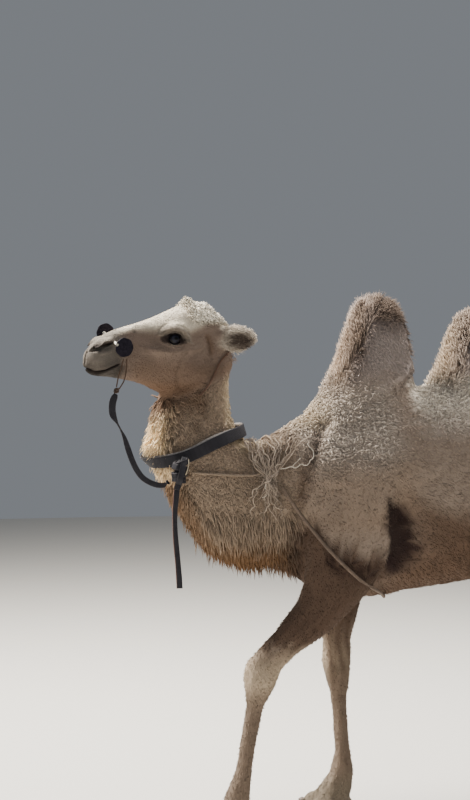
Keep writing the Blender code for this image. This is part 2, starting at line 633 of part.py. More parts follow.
def thin(thing):
    """Thins each place of the body to its own number of triangles."""
    for place, wanted in TRIANGLES.items():
        group = thing.vertex_groups.new(name=place)
        inside = [v.index for v in thing.data.vertices if place_of(v.co) == place]
        group.add(inside, 1.0, "REPLACE")
        everywhere = sum(len(f.vertices) - 2 for f in thing.data.polygons)
        fewer = thing.modifiers.new("fewer", "DECIMATE")
        fewer.vertex_group = group.name
        fewer.vertex_group_factor = 1.0
        fewer.ratio = (everywhere - faces_in(thing, place) + wanted) / everywhere
        fewer.use_collapse_triangulate = True
        bake_modifiers(thing)
        thing.vertex_groups.clear()


def cut_soles(thing):
    """Cuts everything under the floor away, which leaves each foot a flat sole."""
    bm = bmesh.new()
    bm.from_mesh(thing.data)
    everything = bm.verts[:] + bm.edges[:] + bm.faces[:]
    up = (0, 0, 1)
    bmesh.ops.bisect_plane(bm, geom=everything, plane_co=(0, 0, 0), plane_no=up, clear_inner=True)
    bmesh.ops.holes_fill(bm, edges=[e for e in bm.edges if e.is_boundary], sides=0)
    bmesh.ops.triangulate(bm, faces=bm.faces)
    bm.to_mesh(thing.data)
    bm.free()


# ---------------------------------------------------------------- cutting and seating
def boolean(thing, other, operation="DIFFERENCE"):
    """Cuts the other out of the object, or adds it, and uses the other up."""
    made = thing.modifiers.new("cut", "BOOLEAN")
    made.operation = operation
    made.solver = "EXACT"
    made.object = other
    bake_modifiers(thing)
    remove(other)


def grown(thing, gap):
    """A copy of the object, swollen by the gap all round."""
    copy = bpy.data.objects.new(thing.name + " grown", thing.data.copy())
    bpy.context.scene.collection.objects.link(copy)
    swell = copy.modifiers.new("swell", "DISPLACE")
    swell.mid_level = 0
    swell.strength = gap
    bake_modifiers(copy)
    return copy


def seat(piece, *others):
    """Cuts away what of the piece lies in the others, and a little more."""
    for other in others:
        boolean(piece, grown(other, SEAT_GAP))
    keep_largest(piece)


def islands(thing):
    """The separate bodies in the object's mesh, as lists of face indices, largest first."""
    bm = bmesh.new()
    bm.from_mesh(thing.data)
    unseen = set(bm.faces)
    found = []
    while unseen:
        stack = [unseen.pop()]
        faces = []
        while stack:
            face = stack.pop()
            faces.append(face.index)
            near = {other for edge in face.edges for other in edge.link_faces} & unseen
            unseen -= near
            stack += near
        found.append(faces)
    bm.free()
    return sorted(found, key=len, reverse=True)


def with_faces(thing, faces, name):
    """A new object with only those faces of the object."""
    bm = bmesh.new()
    bm.from_mesh(thing.data)
    bm.faces.ensure_lookup_table()
    kept = set(faces)
    bmesh.ops.delete(bm, geom=[f for f in bm.faces if f.index not in kept], context="FACES")
    return object_from(bm, name)


def keep_largest(thing):
    found = islands(thing)
    if len(found) > 1:
        kept = with_faces(thing, found[0], "kept")
        thing.data = kept.data
        remove(kept)


def volume(thing):
    bm = bmesh.new()
    bm.from_mesh(thing.data)
    size = bm.calc_volume()
    bm.free()
    return size


def disc(name, centre, normal, radius, depth, sides=32):
    bm = bmesh.new()
    bmesh.ops.create_cone(
        bm, cap_ends=True, segments=sides, radius1=radius, radius2=radius, depth=depth
    )
    turn = Vector(normal).to_track_quat("Z", "Y").to_matrix()
    bmesh.ops.rotate(bm, verts=bm.verts, matrix=turn)
    bmesh.ops.translate(bm, verts=bm.verts, vec=centre)
    return object_from(bm, name)


def dome(name, sections):
    """A thin shell, open at its lower rim."""
    shell = loft(name, sections, sides=10, steps=0, open_start=True)
    shell.modifiers.new("same on both faces", "TRIANGULATE")
    wall = shell.modifiers.new("wall", "SOLIDIFY")
    wall.thickness = CUT
    wall.offset = 0
    bake_modifiers(shell)
    return shell


def part_body(body):
    """Cuts the body along all the cuts, and names what comes apart."""
    for name, (centre, normal, radius) in CUTS.items():
        boolean(body, disc(name, centre, normal, radius, CUT))
    for side, sections in FORE_DOME.items():
        boolean(body, dome("fore dome " + side, sections))
    for side in HIND_SWING:
        boolean(body, dome("hind dome " + side, swung(HIND_DOME, side)))
    for faces in islands(body):
        piece = with_faces(body, faces, "piece")
        if volume(piece) < CRUMB:
            remove(piece)
            continue
        low, high = box_of(piece)
        middle = (low + high) / 2
        piece.name = min(BODY_PARTS, key=lambda n: (Vector(BODY_PARTS[n][0]) - middle).length)
        piece.data.materials.append(finish(BODY_PARTS[piece.name][1]))
    remove(body)


def box_of(thing):
    corners = [v.co for v in thing.data.vertices]
    low = Vector([min(c[i] for c in corners) for i in range(3)])
    high = Vector([max(c[i] for c in corners) for i in range(3)])
    return low, high


# ---------------------------------------------------------------- face and feet
def make_eyes(body):
    """Round eyes in sockets."""
    forward, sideways, z = EYE_PLACE
    for side, sign in (("left", -1), ("right", 1)):
        place = head_point(forward, sideways * sign, z)
        socket_size = EYE_RADIUS + SEAT_GAP
        boolean(body, ellipsoid("socket", place, (socket_size,) * 3, 12))
        eye = ellipsoid("eye_" + side, place, (EYE_RADIUS,) * 3, 12)
        eye.data.materials.append(finish("eye_dark"))


def make_ears(body):
    for side, sign in (("left", -1), ("right", 1)):
        ear = loft("ear_" + side, EAR, sides=10, steps=0)
        centre, half = EAR_HOLLOW
        boolean(ear, ellipsoid("hollow", centre, half, 10))
        ear.data.transform(Matrix.Scale(sign, 4, (0, 1, 0)))
        place_on_head(ear)
        if sign < 0:
            ear.data.flip_normals()
        seat(ear, body)
        ear.data.materials.append(finish("pale_coat"))


def make_nails(body):
    for leg, (x, y, half_length, _) in FEET.items():
        for side, sign in (("outer", math.copysign(1, y)), ("inner", -math.copysign(1, y))):
            place = (x - half_length * 1.05, y + sign * TOE_SPREAD, NAIL_HEIGHT)
            nail = ellipsoid(leg + "_nail_" + side, place, NAIL_HALF_SIZES, 6)
            seat(nail, body)
            nail.data.materials.append(finish("horn_nail"))


# ---------------------------------------------------------------- what it wears
def surface_of(thing):
    bm = bmesh.new()
    bm.from_mesh(thing.data)
    tree = BVHTree.FromBMesh(bm)
    bm.free()
    return tree


def outward(back, across, k):
    angle = 2 * math.pi * k / COLLAR_SIDES
    return back * math.cos(angle) + across * math.sin(angle)


def make_collar(body):
    """A band round the neck where it is parted, loose at the throat."""
    centre, normal, reach = CUTS["under the collar"]
    centre, normal = Vector(centre), Vector(normal).normalized()
    across = Vector((0, 1, 0))
    back = across.cross(normal)
    surface = surface_of(body)
    bands = (-COLLAR_WIDTH / 2, 0, COLLAR_WIDTH / 2)
    to_knot = (KNOT_CENTRE - centre).normalized()
    radii, middles = [], []
    for k in range(COLLAR_SIDES):
        away = outward(back, across, k)
        middles.append(centre - normal * COLLAR_SAG * max(0.0, away.dot(to_knot)) ** 2)
        starts = [middles[k] + normal * b + away * reach for b in bands]
        hits = [surface.ray_cast(start, -away)[3] for start in starts]
        throat = max(0.0, -away.dot(back)) ** 3
        radii.append(reach - min(hits) + COLLAR_GAP + COLLAR_SLACK * throat)
    for _ in range(3):
        after = radii[1:] + radii[:1]
        radii = [max(r, (a + b) / 2) for a, r, b in zip(radii[-1:] + radii, radii, after)]
    bm = bmesh.new()
    edges = []
    for band in (bands[0], bands[2]):
        around = enumerate(zip(middles, radii))
        edges += add_loop(
            bm, [m + normal * band + outward(back, across, k) * r for k, (m, r) in around]
        )
    bmesh.ops.bridge_loops(bm, edges=edges)
    collar = object_from(bm, "collar")
    thick = collar.modifiers.new("thickness", "SOLIDIFY")
    thick.thickness = COLLAR_THICK
    thick.offset = 1
    bake_modifiers(collar)
    collar.data.materials.append(finish("black_webbing"))
    return collar


def make_knot(body, collar):
    lumps = [ellipsoid("lump", KNOT_CENTRE + Vector(o), half, 10) for o, half in KNOT_LUMPS]
    knot = lumps[0]
    for lump in lumps[1:]:
        boolean(knot, lump, "UNION")
    knot.name = "collar_knot"
    seat(knot, collar, body)
    knot.data.materials.append(finish("black_webbing"))
    return knot


def rounded_route(points, spacing):
    """Points at about that spacing on one smooth curve through the route."""
    padded = [points[0], *points, points[-1]]
    result = [Vector(points[0])]
    for i in range(len(points) - 1):
        around = padded[i : i + 4]
        length = (Vector(points[i + 1]) - Vector(points[i])).length
        steps = max(1, round(length / spacing))
        for k in range(1, steps + 1):
            result.append(Vector([between(*(p[n] for p in around), k / steps) for n in range(3)]))
    return result


def tube(name, points, radius, colour, resolution=2):
    curve = bpy.data.curves.new(name, "CURVE")
    curve.dimensions = "3D"
    curve.bevel_depth = radius
    curve.bevel_resolution = resolution
    curve.use_fill_caps = True
    spline = curve.splines.new("POLY")
    spline.points.add(len(points) - 1)
    for point, place in zip(spline.points, points):
        point.co = (*place, 1)
    curve.materials.append(finish(colour))
    made = bpy.data.objects.new(name, curve)
    bpy.context.scene.collection.objects.link(made)
    return made


def as_mesh(thing):
    """The curve object as a mesh object of the same name."""
    graph = bpy.context.evaluated_depsgraph_get()
    mesh = bpy.data.meshes.new_from_object(thing.evaluated_get(graph))
    name = thing.name
    remove(thing)
    made = bpy.data.objects.new(name, mesh)
    bpy.context.scene.collection.objects.link(made)
    bm = bmesh.new()
    bm.from_mesh(mesh)
    bmesh.ops.remove_doubles(bm, verts=bm.verts, dist=1e-6)
    bmesh.ops.recalc_face_normals(bm, faces=bm.faces)
    bm.to_mesh(mesh)
    bm.free()
    return made


def mirrored(points):
    """The same places on the other side, in the other order."""
    return [(x, -y, z) for x, y, z in reversed(points)]


def laid_on(surface, points, radius, spacing):
    """A smooth route that keeps just clear of the surface."""
    laid = []
    for point in rounded_route(points, spacing):
        place, normal, _, _ = surface.find_nearest(point)
        laid.append(place + normal * (radius + CORD_GAP))
    for _ in range(2):
        laid = [
            laid[0],
            *[(a + 2 * b + c) / 4 for a, b, c in zip(laid, laid[1:], laid[2:])],
            laid[-1],
        ]
    result = []
    for point in laid:
        place, normal, _, _ = surface.find_nearest(point)
        height = (point - place).dot(normal)
        result.append(point + normal * max(0.0, radius + CORD_GAP - height))
    return result


def make_cords(body, collar, knot):
    surface = surface_of(body)
    for name, route in (("nose_line", NOSE_LINE), ("strap_tail", STRAP_TAIL)):
        tube(name, rounded_route(route, STRAP_RADIUS * 6), STRAP_RADIUS, "black_webbing")
    for name, route in NOSE_CORDS.items():
        tube(name, rounded_route(route, NOSE_CORD_RADIUS * 6), NOSE_CORD_RADIUS, "brown_cord")
    line_knot = ellipsoid("line_knot", *LINE_KNOT, 10)
    line_knot.data.materials.append(finish("brown_cord"))
    around = TWINE_SIDE + TWINE_TOP + mirrored(TWINE_SIDE)
    route = laid_on(surface, around, TWINE_RADIUS, 0.052)
    twine = as_mesh(tube("twine", route, TWINE_RADIUS, "brown_cord"))
    seat(twine, knot, collar, body)
    route = laid_on(surface, GIRTH_NEAR + GIRTH_FAR, GIRTH_RADIUS, 0.075)
    girth = as_mesh(tube("girth_cord", route, GIRTH_RADIUS, "brown_cord"))
    seat(girth, twine, body)
    around = THROAT_CORD_SIDE + THROAT_CORD_TOP + mirrored(THROAT_CORD_SIDE)
    route = laid_on(surface, [head_point(*p) for p in around], THROAT_CORD_RADIUS, 0.032)
    tube("throat_cord", route, THROAT_CORD_RADIUS, "brown_cord")


def make_peg(body):
    """The bone peg through the nose; its hole is cut before the body is parted."""
    ends = [head_point(*end) for end in PEG_ENDS]
    middle, along = (ends[0] + ends[1]) / 2, ends[1] - ends[0]
    hole = disc("hole", middle, along, PEG_RADIUS + SEAT_GAP, along.length, 12)
    boolean(body, hole)
    peg = disc("nose_peg", middle, along, PEG_RADIUS, along.length, 12)
    peg.data.materials.append(finish("pale_bone"))
    return peg


def make_discs(peg):
    for name, (centre, turn) in DISCS.items():
        bm = bmesh.new()
        bmesh.ops.create_cone(
            bm, cap_ends=True, segments=7, radius1=DISC_RADIUS, radius2=DISC_RADIUS, depth=DISC_THICK
        )
        corners = [e for e in bm.edges if abs(e.verts[0].co.z - e.verts[1].co.z) > DISC_THICK / 2]
        bmesh.ops.bevel(bm, geom=corners, offset=DISC_CORNER, segments=3, profile=0.5, affect="EDGES")
        bmesh.ops.rotate(bm, verts=bm.verts, matrix=Matrix.Rotation(math.pi / 2, 3, "X"))
        bmesh.ops.rotate(bm, verts=bm.verts, matrix=Matrix.Rotation(turn, 3, "Y"))
        bmesh.ops.translate(bm, verts=bm.verts, vec=centre)
        plate = place_on_head(object_from(bm, name))
        boolean(plate, grown(peg, SEAT_GAP))
        plate.data.materials.append(finish("dark_leather"))


def move_origin():
    """Puts the origin on the floor under the middle of everything."""
    graph = bpy.context.evaluated_depsgraph_get()
    corners = []
    for thing in bpy.context.scene.objects:
        mesh = thing.evaluated_get(graph).to_mesh()
        corners += [v.co.copy() for v in mesh.vertices]
    middle = [(min(c[i] for c in corners) + max(c[i] for c in corners)) / 2 for i in range(2)]
    shift = Matrix.Translation((-middle[0], -middle[1], 0))
    for thing in bpy.context.scene.objects:
        thing.data.transform(shift)


def main():
    clear_scene()
    body = joined("body", body_lumps())
    melt(body)
    thin(body)
    cut_soles(body)
    make_ears(body)
    make_nails(body)
    make_eyes(body)
    make_discs(make_peg(body))
    collar = make_collar(body)
    make_cords(body, collar, make_knot(body, collar))
    part_body(body)
    move_origin()


main()
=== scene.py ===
import math

import bmesh
import bpy
import numpy as np
from mathutils import Matrix, Vector
from mathutils.bvhtree import BVHTree


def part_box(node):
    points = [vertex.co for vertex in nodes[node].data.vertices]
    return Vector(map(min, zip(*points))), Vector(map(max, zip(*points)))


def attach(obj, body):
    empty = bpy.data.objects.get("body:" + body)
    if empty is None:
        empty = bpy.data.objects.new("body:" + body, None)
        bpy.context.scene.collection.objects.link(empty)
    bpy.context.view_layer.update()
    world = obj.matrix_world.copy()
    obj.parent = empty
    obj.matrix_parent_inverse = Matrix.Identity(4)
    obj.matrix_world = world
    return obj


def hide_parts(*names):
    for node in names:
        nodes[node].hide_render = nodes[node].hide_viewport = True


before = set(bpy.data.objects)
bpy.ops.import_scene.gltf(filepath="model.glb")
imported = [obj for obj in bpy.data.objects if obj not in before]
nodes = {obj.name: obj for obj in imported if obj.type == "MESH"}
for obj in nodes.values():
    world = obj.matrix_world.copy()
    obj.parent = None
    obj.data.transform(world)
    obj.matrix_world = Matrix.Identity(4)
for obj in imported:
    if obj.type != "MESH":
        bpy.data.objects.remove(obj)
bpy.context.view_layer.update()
scene = bpy.context.scene
print("frame loaded:", len(nodes), "nodes")


# the head turns and rolls about its pivot; its own frame is forward, sideways, height
headPose = {"pivot": (-0.66, 0.0, 1.88), "turn": math.radians(14), "roll": math.radians(7)}
eyePlace = (0.233, 0.076, 1.911)


def headMatrixFor(pose):
    pivot = Vector(pose["pivot"])
    flip = Matrix.Diagonal((-1, 1, 1, 1))
    turn = Matrix.Rotation(pose["turn"], 4, "Z") @ Matrix.Rotation(pose["roll"], 4, "X")
    return Matrix.Translation(pivot) @ turn @ Matrix.Translation((0, 0, -pivot.z)) @ flip


headMatrix = headMatrixFor(headPose)
eyeLow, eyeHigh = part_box("eye_left")
shift = (eyeLow + eyeHigh) / 2 - headMatrix @ Vector((eyePlace[0], -eyePlace[1], eyePlace[2]))
headMatrix = Matrix.Translation(shift) @ headMatrix
offset = np.array(shift)


def placed(points):
    return [tuple(Vector(p) + shift) for p in points]


def onHead(points):
    return [tuple(headMatrix @ Vector(p)) for p in points]


def moved(points, matrix):
    m = np.array(matrix)
    return points @ m[:3, :3].T + m[:3, 3]


def inHead(points):
    return moved(points, headMatrix.inverted())


def ramp(value, low, high):
    t = np.clip((value - low) / (high - low), 0, 1)
    return t * t * (3 - 2 * t)


def bell(value, centre, width):
    return np.exp(-(((value - centre) / width) ** 2))


def unit(vectors):
    size = np.linalg.norm(vectors, axis=-1, keepdims=True)
    return vectors / np.maximum(size, 1e-9)


def distanceTo(points, route):
    # distance in the plane of two columns from each point to a broken line
    best = np.full(len(points), 1e9)
    for a, b in zip(route[:-1], route[1:]):
        a, b = np.array(a), np.array(b)
        t = np.clip(((points - a) @ (b - a)) / ((b - a) @ (b - a)), 0, 1)
        best = np.minimum(best, np.linalg.norm(points - (a + t[:, None] * (b - a)), axis=1))
    return best


def strokesOn(flat, strokes):
    # lines raised or sunk in a surface: height, half width, where it holds, route
    return sum(high * bell(distanceTo(flat, route), 0, wide) * share for high, wide, share, route in strokes)


def linear(red, green, blue):
    # a tone named in the usual 0 to 255 steps, as linear light
    def one(v):
        v = v / 255
        return v / 12.92 if v <= 0.04045 else ((v + 0.055) / 1.055) ** 2.4
    return (one(red), one(green), one(blue))


def newMaterial(name):
    material = bpy.data.materials.new(name)
    material.use_nodes = True
    return material, material.node_tree, material.node_tree.nodes["Principled BSDF"]


def setInputs(node, values):
    for name, value in values.items():
        node.inputs[name].default_value = value


def meshFrom(shape, name):
    mesh = bpy.data.meshes.new(name)
    shape.to_mesh(mesh)
    shape.free()
    return mesh


def linked(name, mesh):
    piece = bpy.data.objects.new(name, mesh)
    scene.collection.objects.link(piece)
    return piece


def makeCamera():
    settings = {
        "place": (-2.0896, -5.2265, 1.69),
        "turn": math.radians(-16),
        "lens": 63.0,
        "shift": -0.00625,
    }
    data = bpy.data.cameras.new("camera")
    data.sensor_width = 36
    data.lens = settings["lens"]
    data.shift_y = settings["shift"]
    data.clip_end = 100
    camera = bpy.data.objects.new("camera", data)
    scene.collection.objects.link(camera)
    camera.location = Vector(settings["place"]) + shift
    camera.rotation_euler = (math.radians(90), 0, settings["turn"])
    scene.camera = camera


studioSettings = {
    # place, aim, power, size, colour
    "keyLight": ((-3.2, 2.4, 6.1), (-0.1, 0, 1.4), 1750, 1.6, (1.0, 0.95, 0.87)),
    "rearLight": ((2.4, 0.9, 5.8), (0.4, 0, 1.6), 560, 2.6, (1.0, 0.96, 0.90)),
    "fillLight": ((-3.5, -6.0, 3.4), (0, 0, 1.2), 78, 5.0, (0.95, 0.97, 1.0)),
}
airSettings = {"Color": (0.72, 0.77, 0.84, 1), "Strength": 0.27}
floorRadius = 14
floorSettings = {"Base Color": (0.62, 0.60, 0.56, 1), "Roughness": 0.9}


def makeLights():
    for name, (place, target, power, size, colour) in studioSettings.items():
        data = bpy.data.lights.new(name, "AREA")
        data.energy, data.size, data.color = power, size, colour
        light = bpy.data.objects.new(name, data)
        scene.collection.objects.link(light)
        light.location = place
        light.rotation_mode = "QUATERNION"
        light.rotation_quaternion = (Vector(place) - Vector(target)).to_track_quat("Z", "Y")
    world = bpy.data.worlds.new("studio")
    scene.world = world
    world.use_nodes = True
    setInputs(world.node_tree.nodes["Background"], airSettings)


def makeFloor():
    shape = bmesh.new()
    bmesh.ops.create_circle(shape, cap_ends=True, radius=floorRadius, segments=64)
    floor = linked("floor", meshFrom(shape, "floor"))
    material, _, shader = newMaterial("paleFloor")
    setInputs(shader, floorSettings)
    floor.data.materials.append(material)


makeCamera()
makeLights()
makeFloor()
print("camera, light and floor")


def addNode(tree, kind, **values):
    # a socket given as a value is linked; input0, input1 and input2 are inputs by their place
    node = tree.nodes.new(kind)
    for key, value in values.items():
        name = int(key[5:]) if key.startswith("input") else key
        if name == key and key not in node.inputs:
            setattr(node, key, value)
        elif isinstance(value, bpy.types.NodeSocket):
            tree.links.new(value, node.inputs[name])
        else:
            node.inputs[name].default_value = value
    return node


def makeFurGroup():
    # hair tone: the colour stored on the surface, varied at a broad and a fine scale
    group = bpy.data.node_groups.new("furTone", "ShaderNodeTree")
    for name, value in (("Mottle", 0.25), ("Fine", 0.25), ("Scale", 220.0)):
        socket = group.interface.new_socket(name, in_out="INPUT", socket_type="NodeSocketFloat")
        socket.default_value = value
    group.interface.new_socket("Color", in_out="OUTPUT", socket_type="NodeSocketColor")
    group.interface.new_socket("Height", in_out="OUTPUT", socket_type="NodeSocketFloat")
    given = group.nodes.new("NodeGroupInput").outputs
    place = group.nodes.new("ShaderNodeTexCoord").outputs["Object"]
    stored = addNode(group, "ShaderNodeAttribute", attribute_name="coatColour").outputs["Color"]
    broad = addNode(group, "ShaderNodeTexNoise", Vector=place, Scale=9.0, Detail=4.0, Roughness=0.6)
    fine = addNode(group, "ShaderNodeTexNoise", Vector=place, Scale=given["Scale"],
                   Detail=3.0, Roughness=0.65)
    factors = []
    for noise, amount in ((broad, "Mottle"), (fine, "Fine")):
        spread = addNode(group, "ShaderNodeMath", operation="SUBTRACT",
                         input0=noise.outputs["Fac"], input1=0.5)
        scaled = addNode(group, "ShaderNodeMath", operation="MULTIPLY_ADD",
                         input0=spread.outputs[0], input1=given[amount], input2=1.0)
        factors.append(scaled.outputs[0])
    both = addNode(group, "ShaderNodeMath", operation="MULTIPLY", input0=factors[0], input1=factors[1])
    tint = addNode(group, "ShaderNodeVectorMath", operation="SCALE", input0=stored, Scale=both.outputs[0])
    addNode(group, "NodeGroupOutput", Color=tint.outputs[0], Height=fine.outputs["Fac"])
    return group


furTone = makeFurGroup()


def addRelief(tree, shader, height, strength, distance):
    relief = addNode(tree, "ShaderNodeBump", Strength=strength, Distance=distance, Height=height)
    tree.links.new(relief.outputs["Normal"], shader.inputs["Normal"])


def furMaterial(name, mottle, fine, scale, bump):
    material, tree, shader = newMaterial(name)
    group = addNode(tree, "ShaderNodeGroup", node_tree=furTone, Mottle=mottle, Fine=fine, Scale=scale)
    tree.links.new(group.outputs["Color"], shader.inputs["Base Color"])
    if bump:
        addRelief(tree, shader, group.outputs["Height"], 0.8, bump)
    setInputs(shader, {
        "Roughness": 0.88, "Specular IOR Level": 0.07, "Sheen Weight": 0.03, "Sheen Roughness": 0.6,
    })
    return material


def noisyMaterial(name, dark, light, scale, rough, bump):
    material, tree, shader = newMaterial(name)
    place = tree.nodes.new("ShaderNodeTexCoord").outputs["Object"]
    noise = addNode(tree, "ShaderNodeTexNoise", Vector=place, Scale=scale, Detail=5.0, Roughness=0.6)
    colours = addNode(tree, "ShaderNodeValToRGB", Fac=noise.outputs["Fac"])
    for stop, position, tone in zip(colours.color_ramp.elements, (0.35, 0.65), (dark, light)):
        stop.position, stop.color = position, (*tone, 1)
    tree.links.new(colours.outputs["Color"], shader.inputs["Base Color"])
    addRelief(tree, shader, noise.outputs["Fac"], 0.6, bump)
    setInputs(shader, {"Roughness": rough})
    return material


def wovenMaterial(name, direction, period, bump, rough):
    # ribs of webbing or strands of a rope, over the colour stored on the piece
    material, tree, shader = newMaterial(name)
    place = addNode(tree, "ShaderNodeAttribute", attribute_name="weave").outputs["Vector"]
    stored = addNode(tree, "ShaderNodeAttribute", attribute_name="coatColour").outputs["Color"]
    step = 0.314 if direction == "X" else 0.628  # wave scale that gives one rib a unit
    ribs = addNode(tree, "ShaderNodeTexWave", bands_direction=direction, Vector=place,
                   Scale=step / period, Distortion=0.6).outputs["Fac"]
    worn = addNode(tree, "ShaderNodeTexNoise", Vector=place, Scale=90.0, Detail=4.0).outputs["Fac"]
    level = addNode(tree, "ShaderNodeMath", operation="MULTIPLY_ADD", input0=ribs, input1=0.35, input2=worn)
    level = addNode(tree, "ShaderNodeMath", operation="ADD", input0=level.outputs[0], input1=0.32)
    tint = addNode(tree, "ShaderNodeVectorMath", operation="SCALE", input0=stored, Scale=level.outputs[0])
    tree.links.new(tint.outputs[0], shader.inputs["Base Color"])
    addRelief(tree, shader, ribs, 0.7, bump)
    setInputs(shader, {"Roughness": rough, "Specular IOR Level": 0.25})
    return material


def eyeMaterial():
    material, tree, shader = newMaterial("eyeGloss")
    stored = addNode(tree, "ShaderNodeAttribute", attribute_name="coatColour").outputs["Color"]
    tree.links.new(stored, shader.inputs["Base Color"])
    setInputs(shader, {
        "Roughness": 0.35, "Specular IOR Level": 0.1, "Coat Weight": 0.14, "Coat Roughness": 0.04,
    })
    return material


skinFur = furMaterial("skinFur", 0.35, 0.55, 190.0, 0.004)
tuftFur = furMaterial("tuftFur", 0.35, 0.10, 60.0, 0)
eyeGloss = eyeMaterial()
webbing = wovenMaterial("webbing", "X", 0.0022, 0.0006, 0.7)
rope = wovenMaterial("rope", "DIAGONAL", 0.004, 0.0010, 0.85)
hornNail = noisyMaterial("hornNail", linear(62, 52, 44), linear(112, 98, 84), 160, 0.5, 0.0012)
darkHide = noisyMaterial("darkHide", linear(22, 20, 28), linear(40, 37, 46), 130, 0.8, 0.0008)
setInputs(darkHide.node_tree.nodes["Principled BSDF"], {"Specular IOR Level": 0.08})
paleBone = noisyMaterial("paleBone", linear(205, 198, 182), linear(238, 232, 220), 80, 0.45, 0.0004)
print("materials")


def dressed(piece, material, slot, *replaced):
    mesh = piece.data
    mesh.materials.clear()
    mesh.materials.append(material)
    mesh.shade_smooth()
    if replaced:
        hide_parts(*replaced)
    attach(piece, "root")
    return piece


def settled(piece):
    # the mesh with its modifiers applied
    graph = bpy.context.evaluated_depsgraph_get()
    mesh = bpy.data.meshes.new_from_object(piece.evaluated_get(graph))
    piece.modifiers.clear()
    piece.data = mesh
    return piece


def pointsOf(mesh):
    points = np.empty(len(mesh.vertices) * 3)
    mesh.vertices.foreach_get("co", points)
    return points.reshape(-1, 3)


def setPoints(mesh, points):
    mesh.vertices.foreach_set("co", points.astype(np.float32).ravel())
    mesh.update()


def normalsOf(mesh):
    normals = np.empty(len(mesh.vertices) * 3, np.float32)
    mesh.vertex_normals.foreach_get("vector", normals)
    return normals.reshape(-1, 3).astype(float)


def edgesOf(mesh):
    edges = np.empty(len(mesh.edges) * 2, np.int32)
    mesh.edges.foreach_get("vertices", edges)
    return edges.reshape(-1, 2)


def trianglesOf(mesh):
    mesh.calc_loop_triangles()
    faces = np.empty(len(mesh.loop_triangles) * 3, np.int32)
    mesh.loop_triangles.foreach_get("vertices", faces)
    return faces.reshape(-1, 3)


def averaged(values, edges, share, rounds=1):
    # every value moved towards the mean of its neighbours
    count = len(values)
    degree = np.maximum(np.bincount(edges.ravel(), minlength=count), 1)
    flat = values.reshape(count, -1)
    for _ in range(rounds):
        result = flat.copy()
        for i in range(flat.shape[1]):
            total = np.bincount(edges[:, 0], flat[edges[:, 1], i], count)
            total += np.bincount(edges[:, 1], flat[edges[:, 0], i], count)
            result[:, i] += (total / degree - flat[:, i]) * share
        flat = result
    return flat.reshape(values.shape)


def mergedCopy(names, title, fatten=0.0):
    whole = bmesh.new()
    for name in names:
        part = bmesh.new()
        part.from_mesh(nodes[name].data)
        bmesh.ops.remove_doubles(part, verts=part.verts, dist=0.00002)
        part.normal_update()
        for v in part.verts:
            v.co += v.normal * fatten
        mesh = meshFrom(part, "part")
        whole.from_mesh(mesh)
        bpy.data.meshes.remove(mesh)
    return linked(title, meshFrom(whole, title))


fleshNodes = [
    "head", "neck_upper", "neck_lower", "trunk", "hump_front", "hump_rear",
    "foreleg_left", "foreleg_right", "hindleg_left", "hindleg_right",
    "tail", "ear_left", "ear_right",
]
skinSettings = {
    "grid": 0.0072,
    "rounds": 34,
    "headRounds": 5,
    "bodyTriangles": 62000,
}


def fusedFlesh():
    piece = mergedCopy(fleshNodes, "skin", 0.0007)
    remesh = piece.modifiers.new("fuse", "REMESH")
    remesh.mode = "VOXEL"
    remesh.voxel_size = skinSettings["grid"]
    settled(piece)
    shape = bmesh.new()
    shape.from_mesh(piece.data)
    seen = set()
    best = []
    for start in shape.verts:
        if start in seen:
            continue
        stack, found = [start], [start]
        seen.add(start)
        while stack:
            for edge in stack.pop().link_edges:
                for v in edge.verts:
                    if v not in seen:
                        seen.add(v)
                        stack.append(v)
                        found.append(v)
        if len(found) > len(best):
            best = found
    keep = set(best)
    bmesh.ops.delete(shape, geom=[v for v in shape.verts if v not in keep], context="VERTS")
    shape.to_mesh(piece.data)
    shape.free()
    return piece


skin = fusedFlesh()
print("skin fused:", len(skin.data.vertices))


def treeOf(names):
    # the faces of these nodes as one tree, and the node that each face is from
    corners, faces, owners = [], [], []
    for name in names:
        mesh = nodes[name].data
        start = len(corners)
        corners += [v.co for v in mesh.vertices]
        faces += [[start + i for i in polygon.vertices] for polygon in mesh.polygons]
        owners += [name] * len(mesh.polygons)
    return BVHTree.FromPolygons(corners, faces), owners


# the region of the skin that each node of flesh stands for
regionNames = {
    "head": "head", "ear_left": "ears", "ear_right": "ears",
    "neck_upper": "neckUpper", "neck_lower": "neckLower",
    "trunk": "trunk", "hump_front": "humpFront", "hump_rear": "humpRear",
    "foreleg_left": "foreLeft", "foreleg_right": "foreRight",
    "hindleg_left": "hindLeft", "hindleg_right": "hindRight", "tail": "tail",
}


def regionsOf(points, edges, rounds):
    # each point belongs to the nearest node, softened into weights
    tree, owners = treeOf(regionNames)
    labels = np.array([regionNames[owners[tree.find_nearest(p)[2]]] for p in points.tolist()])
    found = {name: (labels == name).astype(float) for name in dict.fromkeys(regionNames.values())}
    table = np.stack(list(found.values()), axis=1)
    return dict(zip(found, averaged(table, edges, 0.7, rounds).T))


def smoothBody(piece):
    # the body gets all rounds, the face and the soles only the first few
    points, edges = pointsOf(piece.data), edgesOf(piece.data)
    u, v, w = inHead(points).T
    face = ramp(u, -0.02, 0.02) * ramp(points[:, 2], 1.66, 1.70)
    face = np.maximum(face, ramp(u, -0.12, -0.10) * ramp(np.abs(v), 0.05, 0.07) * ramp(w, 1.83, 1.86))
    low = ramp(points[:, 2], 0.14, 0.08)
    weight = (1 - np.maximum(face, low))[:, None]
    for i in range(skinSettings["rounds"]):
        share = weight if i >= skinSettings["headRounds"] else 1.0
        points = points + (averaged(points, edges, 0.6) - points) * share
        points = points + (averaged(points, edges, -0.62) - points) * share
    setPoints(piece.data, points)


smoothBody(skin)


